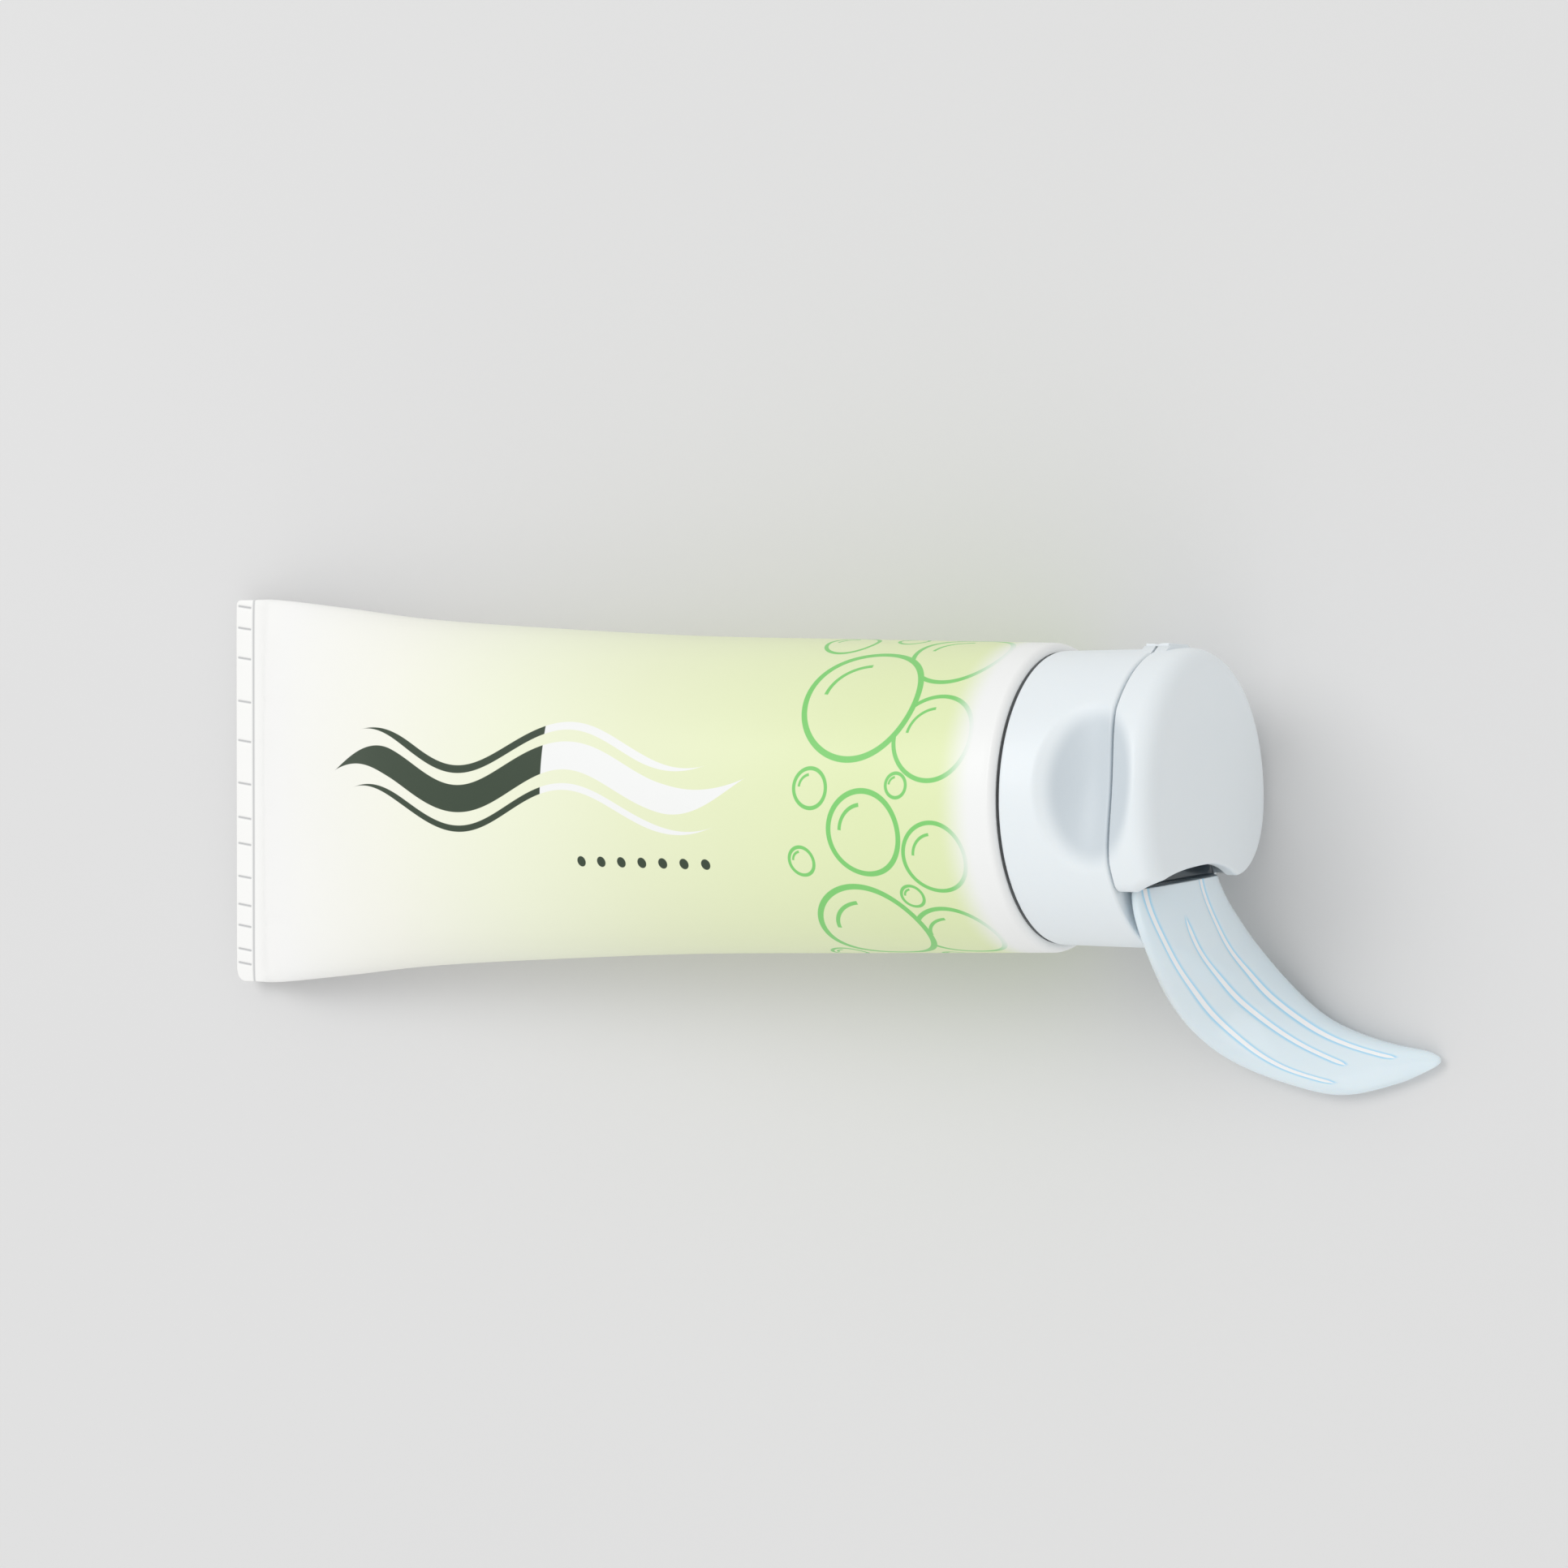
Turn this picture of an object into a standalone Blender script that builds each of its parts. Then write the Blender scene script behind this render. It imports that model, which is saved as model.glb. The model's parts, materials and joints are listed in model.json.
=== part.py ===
"""A soft toothpaste tube lying on its back, with a flip-top cap and a ribbon of paste.

Frame: the origin is on the surface the tube rests on, under the middle of the sleeve.
+X runs along the tube to the cap, +Z is up, and the lid's hinge is on the +Y side.
All lengths below are in millimetres and become metres where a mesh is made.
"""
import math

import bmesh
import bpy
from mathutils import Matrix, Vector

MM = 0.001
GAP = 0.3                       # clearance kept between neighbouring solids
SHARP_ANGLE = math.radians(35)
MERGE_DISTANCE = 0.00001        # metres
TURNED_STEPS = 48

# Sleeve: a laminate tube, round at the shoulder and pressed flat at the tail.
TUBE_RADIUS = 19.25
SLEEVE_LENGTH = 153.2
SLEEVE_WALL = 0.35
TAIL_X = -SLEEVE_LENGTH / 2
SHOULDER_X = SLEEVE_LENGTH / 2
AXIS_Z = TUBE_RADIUS
CRIMP_LENGTH = 3.6
CRIMP_HALF_THICKNESS = 0.45
CRIMP_END = TAIL_X + CRIMP_LENGTH
OPENING_LENGTH = 8.0            # from the crimp to where the two walls stand fully apart
TAIL_LIFT = 2.65                # the free tail curls this far off the surface
TAIL_LIFT_SHARE = 0.26          # share of the length that is lifted
BELLY_SAG = 0.8                 # how far the full belly flattens on the surface
BELLY_START_SHARE = 0.14        # the flattened stretch, with its run-in and run-out
BELLY_END_SHARE = 1.0
BELLY_BLEND_SHARE = 0.25
ROUND_EXPONENT = 2.0            # section exponents: an ellipse, and nearly a rectangle
CRIMP_EXPONENT = 8.0
LIP_RADIUS = 0.9
LIP_INNER_RADIUS = 18.1
LIP_STEPS = 3
# Half widths along the sleeve, as (share of the length from the tail, half width).
WIDTH_OUTLINE = (
    (0.0, 30.0), (0.06, 29.75), (0.17, 27.9), (0.29, 25.6),
    (0.42, 23.85), (0.62, 21.7), (0.8, 20.5), (1.0, 19.25),
)
SLEEVE_SIDES = 40
SLEEVE_RINGS = 17
SLEEVE_RING_BIAS = 1.25         # over 1 puts the rings closer together near the tail
CAVITY_START = TAIL_X + 7.5

# Shoulder and neck: one turned moulding that closes the sleeve's round end.
SHOULDER_RADIUS = TUBE_RADIUS - SLEEVE_WALL - 1.5 * GAP
SHOULDER_WALL = 1.3
SHOULDER_RIM_X = SHOULDER_X - 1.2
NECK_ROOT_X = SHOULDER_X - 0.3
NECK_RADIUS = 7.6
NECK_BORE = 5.4
NECK_END_X = SHOULDER_X + 10.6
NECK_BEAD_RADIUS = 8.0
NECK_BEAD_X = SHOULDER_X + 5.2
NECK_BEAD_LENGTH = 1.4
NECK_CHAMFER = 0.4
ROOT_FILLET = 0.6
RIM_STEP = 1.0                  # the rim's inner edge, in from the shoulder's outside
THROAT_FLARE = 1.0              # the bore opens by this much into the sleeve
THROAT_X = NECK_ROOT_X - SHOULDER_WALL

# Cap base: a round skirt with a flat deck, pressed on over the neck bead.
CAP_RADIUS = 18.25
CAP_WALL = 1.3
BASE_START_X = SHOULDER_X + GAP
DECK_X = SHOULDER_X + 13.8
DECK_THICKNESS = 1.5
ORIFICE_RADIUS = 3.2
SPOUT_RADIUS = 4.9
SPOUT_START_X = NECK_END_X - 2.1
COLLAR_RADIUS = NECK_BEAD_RADIUS + GAP
COLLAR_WALL = 1.5
COLLAR_START_X = SHOULDER_X + 2.2
EDGE_ROUND = 0.4

# Lid: a hood with an open mouth on the -Y side, under an arched end plate.
SEAM_GAP = 0.35
LID_START_X = DECK_X + SEAM_GAP
LID_END_X = SHOULDER_X + 19.75
LID_EDGE_ROUND = 2.6
LID_EDGE_STEPS = 5
LID_PLATE = 1.5
LID_CEILING_X = LID_END_X - LID_PLATE
LID_CEILING_FILLET = 1.0
LID_CHORD_Y = -10.0
LID_TURN = math.radians(3.5)    # the chord dips towards the front
LID_FRONT_CORNER = 2.2
LID_BACK_CORNER = 10.5
LID_LEAST_CORNER = 0.3
CORNER_STEPS = 6
ROUND_SIDE_STEPS = 36
ARCH_RISE = 2.0
ARCH_PEAK_Z = 3.3               # from the tube's axis, towards the front
ARCH_FRONT_REACH = 14.8
ARCH_BACK_REACH = 10.8
ARCH_SLANT = 1.59               # the front reach shortens by this per unit towards the seam
ARCH_STEPS = 16
MOUTH_FRONT = 12.4              # the mouth's two ends, from the tube's axis
MOUTH_BACK = -9.8
MOUTH_DEPTH_Y = LID_CHORD_Y + ARCH_RISE + CAP_WALL + 0.6
GUIDE_RADIUS = 8.6
GUIDE_WALL = 1.1
GUIDE_LEG_Y = -4.5
GUIDE_START_X = DECK_X + 0.7
GUIDE_STEPS = 16
OVERLAP = 0.4                   # how far a joined shape runs into the wall that carries it
PASS_THROUGH = 1.0              # how far a cutter runs past the face that it opens

# Thumb recess: an oval hollow across the seam, on the side that faces up.
RECESS_X = SHOULDER_X + 11.3
RECESS_TURN = math.radians(6.0)
RECESS_DEPTH = 3.0
RECESS_RADIUS = 7.3
RECESS_LONG_RADIUS = 31.0
RECESS_WALL = 1.2

# Living hinge: the film itself is thin and bends, so each half keeps only its web.
HINGE_X = DECK_X + SEAM_GAP / 2
HINGE_Y = CAP_RADIUS + 0.35
WEB_HALF_WIDTH = 5.0
WEB_LENGTH = 1.5
WEB_FACE_Y = CAP_RADIUS + 0.25

# Paste: fills the sleeve, runs through the neck and lies out on the surface as a ribbon.
FILL_INSET = SLEEVE_WALL + 1.5 * GAP
FILL_START_X = TAIL_X + 12.0
FILL_END_X = SHOULDER_RIM_X - SHOULDER_WALL - 1.0
FILL_RINGS = 16
FILL_RING_BIAS = 1.2
NECK_STRAND_RADIUS = NECK_BORE - GAP
SPOUT_STRAND_RADIUS = ORIFICE_RADIUS - GAP
STRAND_STEP = 0.1
RIBBON_X = DECK_X + 2.3
RIBBON_SIDES = 18
RIBBON_STEPS = 4                # rings between two stations of the ribbon
RIBBON_FULLNESS = 2.6           # exponent of the ribbon's rounded section
# Stations of the ribbon, as (upper edge, lower edge, thickness).
RIBBON_STATIONS = (
    ((RIBBON_X, 4.2, 22.0), (RIBBON_X, 4.2, 16.5), 2.6),
    ((RIBBON_X, 1.5, 24.9), (RIBBON_X, 1.5, 13.6), 3.5),
    ((92.3, -4.0, 27.2), (93.0, -4.0, 12.5), 3.3),
    ((91.8, -10.4, 31.1), (93.4, -10.0, 12.3), 3.0),
    ((91.9, -16.9, 29.9), (95.0, -14.6, 8.0), 3.4),
    ((89.4, -23.0, 18.2), (97.0, -18.8, 4.0), 4.6),
    ((87.8, -28.4, 8.8), (100.4, -23.3, 2.7), 4.8),
    ((90.8, -32.8, 3.8), (105.0, -26.8, 2.4), 4.6),
    ((96.0, -35.3, 2.3), (109.5, -29.0, 2.2), 4.2),
    ((101.2, -36.5, 1.9), (114.0, -30.4, 1.8), 3.6),
    ((106.6, -36.9, 1.3), (117.3, -31.1, 1.3), 2.6),
    ((113.0, -35.1, 0.8), (119.2, -32.0, 0.8), 1.4),
)


def clear_scene():
    """Start from an empty file."""
    for old in list(bpy.data.objects):
        bpy.data.objects.remove(old, do_unlink=True)


def new_collection(name):
    collection = bpy.data.collections.new(name)
    bpy.context.scene.collection.children.link(collection)
    return collection


def make_material(name, colour, roughness):
    """A Principled material with one colour and roughness."""
    material = bpy.data.materials.new(name)
    material.use_nodes = True
    shader = material.node_tree.nodes["Principled BSDF"]
    shader.inputs["Base Color"].default_value = (*colour, 1.0)
    shader.inputs["Roughness"].default_value = roughness
    shader.inputs["Metallic"].default_value = 0.0
    return material


def link_mesh(name, bm, collection, material=None):
    """Turn a bmesh into a smooth-shaded object with its faces pointing out."""
    bmesh.ops.recalc_face_normals(bm, faces=bm.faces)
    mesh = bpy.data.meshes.new(name)
    bm.to_mesh(mesh)
    bm.free()
    mesh.shade_smooth()
    mesh.set_sharp_from_angle(angle=SHARP_ANGLE)
    piece = bpy.data.objects.new(name, mesh)
    if material is not None:
        mesh.materials.append(material)
    collection.objects.link(piece)
    return piece


def as_helper(piece):
    """Keep a boolean's second shape out of the model."""
    piece.hide_render = True
    piece.display_type = "WIRE"
    return piece


def loft(name, rings, collection, material=None):
    """Skin a closed body over rings that all have the same number of points."""
    bm = bmesh.new()
    rows = [[bm.verts.new(Vector(point) * MM) for point in ring] for ring in rings]
    for row, after in zip(rows, rows[1:]):
        for index in range(len(row)):
            follow = (index + 1) % len(row)
            bm.faces.new((row[index], row[follow], after[follow], after[index]))
    bm.faces.new(rows[0])
    bm.faces.new(rows[-1])
    return link_mesh(name, bm, collection, material)


def turned(name, profile, closed, collection, material=None):
    """Spin a profile of (radius, x) points about the tube's axis with a Screw modifier.

    The profile runs down its outer side, which is from the cap's end towards the tail.
    """
    mesh = bpy.data.meshes.new(name)
    points = [(radius * MM, 0.0, x * MM) for radius, x in profile]
    edges = [(index, index + 1) for index in range(len(points) - 1)]
    if closed:
        edges.append((len(points) - 1, 0))
    mesh.from_pydata(points, edges, [])
    if material is not None:
        mesh.materials.append(material)
    piece = bpy.data.objects.new(name, mesh)
    piece.location = (0.0, 0.0, AXIS_Z * MM)
    piece.rotation_euler = (0.0, math.pi / 2, 0.0)
    collection.objects.link(piece)
    screw = piece.modifiers.new("turn", "SCREW")
    screw.axis = "Z"
    screw.steps = TURNED_STEPS
    screw.render_steps = TURNED_STEPS
    screw.use_merge_vertices = True
    screw.merge_threshold = MERGE_DISTANCE
    screw.use_smooth_shade = True
    return piece


def box(name, low, high, collection):
    """A plain block between two corners."""
    bm = bmesh.new()
    bmesh.ops.create_cube(bm, size=1.0)
    for vert in bm.verts:
        vert.co = Vector(
            (low[axis] + (high[axis] - low[axis]) * (vert.co[axis] + 0.5)) * MM for axis in range(3)
        )
    return link_mesh(name, bm, collection)


def boolean(piece, helper, operation):
    """Add an exact boolean with a helper object."""
    cut = piece.modifiers.new(operation.lower(), "BOOLEAN")
    cut.operation = operation
    cut.solver = "EXACT"
    cut.object = as_helper(helper)


def put_origin(piece, point):
    """Put an object's origin at a point and leave its surface where it is."""
    place = Vector(point) * MM
    piece.data.transform(Matrix.Translation(-place))
    piece.location = place


def smoothstep(value):
    """Ease from 0 to 1."""
    value = min(max(value, 0.0), 1.0)
    return value * value * (3 - 2 * value)


def spline(knots, values, at):
    """Read a smooth curve through values given at rising knots."""
    last = len(knots) - 1
    segment = 0
    while segment < last - 1 and at > knots[segment + 1]:
        segment += 1

    def slope(index):
        before = max(index - 1, 0)
        after = min(index + 1, last)
        return (values[after] - values[before]) / (knots[after] - knots[before])

    span = knots[segment + 1] - knots[segment]
    u = (at - knots[segment]) / span
    start = values[segment]
    end = values[segment + 1]
    return (
        start * (1 + 2 * u) * (1 - u) ** 2
        + slope(segment) * (span * u * (1 - u) ** 2)
        + end * (u * u * (3 - 2 * u))
        + slope(segment + 1) * (span * u * u * (u - 1))
    )


def half_width(share):
    """Half width of the sleeve at a share of its length from the tail."""
    return spline([knot for knot, _ in WIDTH_OUTLINE], [width for _, width in WIDTH_OUTLINE], share)


def half_height(width):
    """Half height of the ellipse that keeps the sleeve's girth at this half width."""
    girth = 2 * math.pi * TUBE_RADIUS
    low = 0.0
    high = TUBE_RADIUS
    for _ in range(40):
        middle = (low + high) / 2
        root = math.sqrt((3 * width + middle) * (width + 3 * middle))
        if math.pi * (3 * (width + middle) - root) < girth:
            low = middle
        else:
            high = middle
    return high


def section(x):
    """Half width, half height, centre height and section exponent of the sleeve at x."""
    share = (x - TAIL_X) / SLEEVE_LENGTH
    width = half_width(share)
    opened = smoothstep((x - CRIMP_END) / OPENING_LENGTH)
    height = CRIMP_HALF_THICKNESS + (half_height(width) - CRIMP_HALF_THICKNESS) * opened
    lift = TAIL_LIFT * (1 - smoothstep(share / TAIL_LIFT_SHARE))
    run_in = smoothstep((share - BELLY_START_SHARE) / BELLY_BLEND_SHARE)
    run_out = smoothstep((BELLY_END_SHARE - share) / BELLY_BLEND_SHARE)
    exponent = CRIMP_EXPONENT + (ROUND_EXPONENT - CRIMP_EXPONENT) * opened
    return width, height, lift + height - BELLY_SAG * run_in * run_out, exponent


def rounded(angle, exponent):
    """A point at an angle on the unit curve between a circle (exponent 2) and a square."""
    cosine = math.cos(angle)
    sine = math.sin(angle)
    power = 2 / exponent
    return math.copysign(abs(cosine) ** power, cosine), math.copysign(abs(sine) ** power, sine)


def sleeve_ring(x, inset):
    """One ring of the sleeve, moved in by an inset and flat where it meets the surface."""
    width, height, centre, exponent = section(x)
    ring = []
    for index in range(SLEEVE_SIDES):
        across, upward = rounded(2 * math.pi * index / SLEEVE_SIDES, exponent)
        z = centre + (height - inset) * upward
        ring.append((x, (width - inset) * across, max(z, inset)))
    return ring


def round_ring(x, radius, count):
    """A circle about the tube's axis, with its points in the order of a sleeve ring."""
    ring = []
    for index in range(count):
        angle = 2 * math.pi * index / count
        ring.append((x, radius * math.cos(angle), AXIS_Z + radius * math.sin(angle)))
    return ring


def spread(start, end, count, bias):
    """Positions from start to end, closer together near the start."""
    return [start + (end - start) * (index / count) ** bias for index in range(count + 1)]


def make_sleeve(collection):
    """The laminate sleeve: outer skin, rolled lip at the shoulder, and inner skin."""
    lip_start = SHOULDER_X - LIP_RADIUS
    body = spread(CRIMP_END, lip_start, SLEEVE_RINGS, SLEEVE_RING_BIAS)
    rings = [sleeve_ring(x, 0.0) for x in [TAIL_X] + body]
    for step in range(1, LIP_STEPS + 1):
        angle = math.pi / 2 * step / LIP_STEPS
        radius = TUBE_RADIUS - LIP_RADIUS * (1 - math.cos(angle))
        rings.append(round_ring(lip_start + LIP_RADIUS * math.sin(angle), radius, SLEEVE_SIDES))
    rings.append(round_ring(SHOULDER_X, LIP_INNER_RADIUS, SLEEVE_SIDES))
    rings.append(round_ring(SHOULDER_X - SLEEVE_WALL, LIP_INNER_RADIUS, SLEEVE_SIDES))
    inner_round = LIP_RADIUS - SLEEVE_WALL
    for step in range(LIP_STEPS + 1):
        angle = math.pi / 2 * (1 - step / LIP_STEPS)
        radius = TUBE_RADIUS - SLEEVE_WALL - inner_round * (1 - math.cos(angle))
        rings.append(round_ring(lip_start + inner_round * math.sin(angle), radius, SLEEVE_SIDES))
    cavity = spread(CAVITY_START, lip_start, SLEEVE_RINGS, SLEEVE_RING_BIAS)
    rings += [sleeve_ring(x, SLEEVE_WALL) for x in reversed(cavity[:-1])]
    laminate = make_material("laminate", (0.8, 0.88, 0.52), 0.35)
    return loft("tube_sleeve", rings, collection, laminate)


def make_shoulder(collection):
    """Conical shoulder and beaded neck, turned about the tube's axis."""
    profile = (
        (NECK_BORE, NECK_END_X),
        (NECK_RADIUS - NECK_CHAMFER, NECK_END_X),
        (NECK_RADIUS, NECK_END_X - NECK_CHAMFER),
        (NECK_RADIUS, NECK_BEAD_X + NECK_BEAD_LENGTH),
        (NECK_BEAD_RADIUS, NECK_BEAD_X + NECK_BEAD_LENGTH * 0.6),
        (NECK_BEAD_RADIUS, NECK_BEAD_X + NECK_BEAD_LENGTH * 0.3),
        (NECK_RADIUS, NECK_BEAD_X),
        (NECK_RADIUS, NECK_ROOT_X + ROOT_FILLET),
        (NECK_RADIUS + ROOT_FILLET, NECK_ROOT_X),
        (LIP_INNER_RADIUS - GAP, SHOULDER_X - SLEEVE_WALL - GAP),
        (SHOULDER_RADIUS, SHOULDER_RIM_X),
        (SHOULDER_RADIUS, SHOULDER_RIM_X - SHOULDER_WALL),
        (SHOULDER_RADIUS - RIM_STEP, SHOULDER_RIM_X - SHOULDER_WALL),
        (NECK_BORE + THROAT_FLARE, THROAT_X),
        (NECK_BORE, THROAT_X + THROAT_FLARE),
    )
    polyethylene = make_material("shoulder_plastic", (0.86, 0.88, 0.89), 0.4)
    return turned("shoulder_neck", profile, True, collection, polyethylene)


def recess_shape(name, grow, collection):
    """The ellipsoid that sinks the thumb recess, or its grown copy that backs the recess."""
    bm = bmesh.new()
    bmesh.ops.create_uvsphere(bm, u_segments=40, v_segments=20, radius=1.0)
    sizes = (RECESS_RADIUS + grow, RECESS_LONG_RADIUS + grow, RECESS_RADIUS + grow)
    reach = CAP_RADIUS - RECESS_DEPTH + RECESS_RADIUS
    centre_y = reach * math.sin(RECESS_TURN)
    centre = Vector((RECESS_X, centre_y, AXIS_Z + reach * math.cos(RECESS_TURN)))
    for vert in bm.verts:
        x, y, z = (vert.co[axis] * sizes[axis] for axis in range(3))
        turned_y = y * math.cos(RECESS_TURN) + z * math.sin(RECESS_TURN)
        turned_z = z * math.cos(RECESS_TURN) - y * math.sin(RECESS_TURN)
        vert.co = (centre + Vector((x, turned_y, turned_z))) * MM
    return link_mesh(name, bm, collection)


def recess_backing(name, start_x, end_x, helpers):
    """The part of the grown ellipsoid that lies inside the cap between two planes."""
    backing = recess_shape(name, RECESS_WALL, helpers)
    reach = CAP_RADIUS - CAP_WALL / 2
    rings = [round_ring(x, reach, TURNED_STEPS) for x in (start_x, end_x)]
    boolean(backing, loft(name + "_limit", rings, helpers), "INTERSECT")
    return backing


def hinge_web(name, start_x, end_x, helpers):
    """A small flat block that carries one side of the hinge film."""
    low = (start_x, CAP_RADIUS - CAP_WALL, AXIS_Z - WEB_HALF_WIDTH)
    high = (end_x, WEB_FACE_Y, AXIS_Z + WEB_HALF_WIDTH)
    return box(name, low, high, helpers)


def make_cap_base(collection, helpers):
    """Round skirt, deck, orifice with its spout tube, and the collar that grips the neck."""
    under = DECK_X - DECK_THICKNESS
    inner = CAP_RADIUS - CAP_WALL
    collar = COLLAR_RADIUS + COLLAR_WALL
    profile = (
        (ORIFICE_RADIUS, DECK_X),
        (CAP_RADIUS - EDGE_ROUND, DECK_X),
        (CAP_RADIUS - EDGE_ROUND * 0.3, DECK_X - EDGE_ROUND * 0.3),
        (CAP_RADIUS, DECK_X - EDGE_ROUND),
        (CAP_RADIUS, BASE_START_X + EDGE_ROUND),
        (CAP_RADIUS - EDGE_ROUND, BASE_START_X),
        (inner, BASE_START_X),
        (inner, under),
        (collar, under),
        (collar, COLLAR_START_X),
        (COLLAR_RADIUS, COLLAR_START_X),
        (COLLAR_RADIUS, under),
        (SPOUT_RADIUS, under),
        (SPOUT_RADIUS, SPOUT_START_X),
        (ORIFICE_RADIUS, SPOUT_START_X),
    )
    plastic = make_material("cap_plastic", (0.78, 0.83, 0.86), 0.38)
    base = turned("cap_base", profile, True, collection, plastic)
    rounded_edge = EDGE_ROUND + MERGE_DISTANCE / MM
    backing = recess_backing(
        "base_recess_backing", BASE_START_X + rounded_edge, DECK_X - rounded_edge, helpers
    )
    boolean(base, backing, "UNION")
    boolean(base, hinge_web("base_web", DECK_X - WEB_LENGTH, DECK_X, helpers), "UNION")
    boolean(base, recess_shape("base_recess", 0.0, helpers), "DIFFERENCE")
    return base


def arc(centre, radius, start, end, steps):
    """Points of an arc as (y, z from the axis), its angles counted from +Y towards +Z."""
    turns = [start + (end - start) * step / steps for step in range(steps + 1)]
    return [(centre[0] + radius * math.cos(a), centre[1] + radius * math.sin(a)) for a in turns]


def corner(radius, corner_radius, chord_y, side):
    """Centre of a rounded corner between the chord and the cap's circle, and its direction."""
    centre_y = chord_y + corner_radius
    centre_z = side * math.sqrt((radius - corner_radius) ** 2 - centre_y ** 2)
    return (centre_y, centre_z), math.atan2(centre_z, centre_y)


def arch_rise(x, z):
    """How far the lid's lower edge rises at x and at z from the axis."""
    front = (z - ARCH_PEAK_Z + ARCH_SLANT * (LID_END_X - x)) / ARCH_FRONT_REACH
    back = (ARCH_PEAK_Z - z) / ARCH_BACK_REACH
    return ARCH_RISE * max(0.0, 1 - max(front, back, 0.0) ** 2)


def lid_outline(inset, edge, x):
    """The lid's D outline at x as (y, z from the axis) points, arched along its chord.

    inset moves the whole outline in, and edge rounds only its round side.
    """
    radius = CAP_RADIUS - inset - edge
    chord_y = LID_CHORD_Y + inset
    front = max(LID_FRONT_CORNER - inset - edge, LID_LEAST_CORNER)
    back = max(LID_BACK_CORNER - inset - edge, LID_LEAST_CORNER)
    front_centre, front_turn = corner(radius, front, chord_y, 1)
    raised = chord_y + arch_rise(x, front_centre[1])
    front_centre, front_turn = corner(radius, front, raised, 1)
    back_centre, back_turn = corner(radius, back, chord_y, -1)
    points = arc(back_centre, back, -math.pi, back_turn, CORNER_STEPS)
    points += arc((0.0, 0.0), radius, back_turn, front_turn, ROUND_SIDE_STEPS)[1:-1]
    points += arc(front_centre, front, front_turn, math.pi, CORNER_STEPS)
    for step in range(1, ARCH_STEPS):
        z = front_centre[1] + (back_centre[1] - front_centre[1]) * step / ARCH_STEPS
        points.append((chord_y + arch_rise(x, z), z))
    cos_turn = math.cos(LID_TURN)
    sin_turn = math.sin(LID_TURN)
    return [(y * cos_turn - z * sin_turn, z * cos_turn + y * sin_turn) for y, z in points]


def outline_ring(outline, x):
    """Place a flat outline across the tube's axis at x."""
    return [(x, y, AXIS_Z + z) for y, z in outline]


def lid_ring(inset, edge, x):
    """One ring of the lid's outline at x."""
    return outline_ring(lid_outline(inset, edge, x), x)


def guide_outline():
    """A horseshoe wall that leads the paste to the mouth, as (y, z from the axis) points."""
    outer = GUIDE_RADIUS + GUIDE_WALL
    quarter = math.pi / 2
    points = [(GUIDE_LEG_Y, -outer)]
    points += arc((0.0, 0.0), outer, -quarter, quarter, GUIDE_STEPS)
    points += [(GUIDE_LEG_Y, outer), (GUIDE_LEG_Y, GUIDE_RADIUS)]
    points += arc((0.0, 0.0), GUIDE_RADIUS, quarter, -quarter, GUIDE_STEPS)
    points.append((GUIDE_LEG_Y, -GUIDE_RADIUS))
    return points


def make_cap_lid(collection, helpers):
    """Hollow hood with a rounded end edge, a guide wall inside and a mouth along its chord."""
    rings = [lid_ring(0.0, 0.0, LID_START_X)]
    for step in range(LID_EDGE_STEPS + 1):
        angle = math.pi / 2 * step / LID_EDGE_STEPS
        edge = LID_EDGE_ROUND * (1 - math.cos(angle))
        x = LID_END_X - LID_EDGE_ROUND * (1 - math.sin(angle))
        rings.append(lid_ring(0.0, edge, x))
    lid = loft("cap_lid", rings, collection, bpy.data.materials["cap_plastic"])
    hollow = [
        lid_ring(CAP_WALL, 0.0, LID_START_X - PASS_THROUGH),
        lid_ring(CAP_WALL, 0.0, LID_CEILING_X - LID_CEILING_FILLET),
        lid_ring(CAP_WALL, 0.3, LID_CEILING_X - LID_CEILING_FILLET * 0.3),
        lid_ring(CAP_WALL, LID_CEILING_FILLET, LID_CEILING_X),
    ]
    boolean(lid, loft("lid_hollow", hollow, helpers), "DIFFERENCE")
    mouth_low = (LID_START_X - PASS_THROUGH, -CAP_RADIUS, AXIS_Z + MOUTH_BACK)
    mouth_high = (LID_CEILING_X, MOUTH_DEPTH_Y, AXIS_Z + MOUTH_FRONT)
    boolean(lid, box("lid_mouth", mouth_low, mouth_high, helpers), "DIFFERENCE")
    joined_end = LID_CEILING_X + OVERLAP
    guide = [outline_ring(guide_outline(), x) for x in (GUIDE_START_X, joined_end)]
    boolean(lid, loft("lid_guide", guide, helpers), "UNION")
    backing = recess_backing("lid_recess_backing", LID_START_X, joined_end, helpers)
    boolean(lid, backing, "UNION")
    web = hinge_web("lid_web", LID_START_X, LID_START_X + WEB_LENGTH, helpers)
    boolean(lid, web, "UNION")
    boolean(lid, recess_shape("lid_recess", 0.0, helpers), "DIFFERENCE")
    put_origin(lid, (HINGE_X, HINGE_Y, AXIS_Z))
    return lid


def ribbon_ring(at):
    """One rounded section across the ribbon, flattened where it lies on the surface."""
    knots = list(range(len(RIBBON_STATIONS)))
    upper = [Vector(station[0]) for station in RIBBON_STATIONS]
    lower = [Vector(station[1]) for station in RIBBON_STATIONS]
    middle = [(first + second) / 2 for first, second in zip(upper, lower)]
    here = spline(knots, middle, at)
    span = spline(knots, upper, at) - spline(knots, lower, at)
    thickness = spline(knots, [station[2] for station in RIBBON_STATIONS], at)
    ahead = spline(knots, middle, min(at + 0.05, knots[-1]))
    behind = spline(knots, middle, max(at - 0.05, 0.0))
    outward = (ahead - behind).cross(span).normalized()
    ring = []
    for index in range(RIBBON_SIDES):
        across, through = rounded(2 * math.pi * index / RIBBON_SIDES, RIBBON_FULLNESS)
        point = here + span * (across / 2) + outward * (thickness / 2 * through)
        ring.append((point.x, point.y, max(point.z, 0.0)))
    return ring


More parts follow.
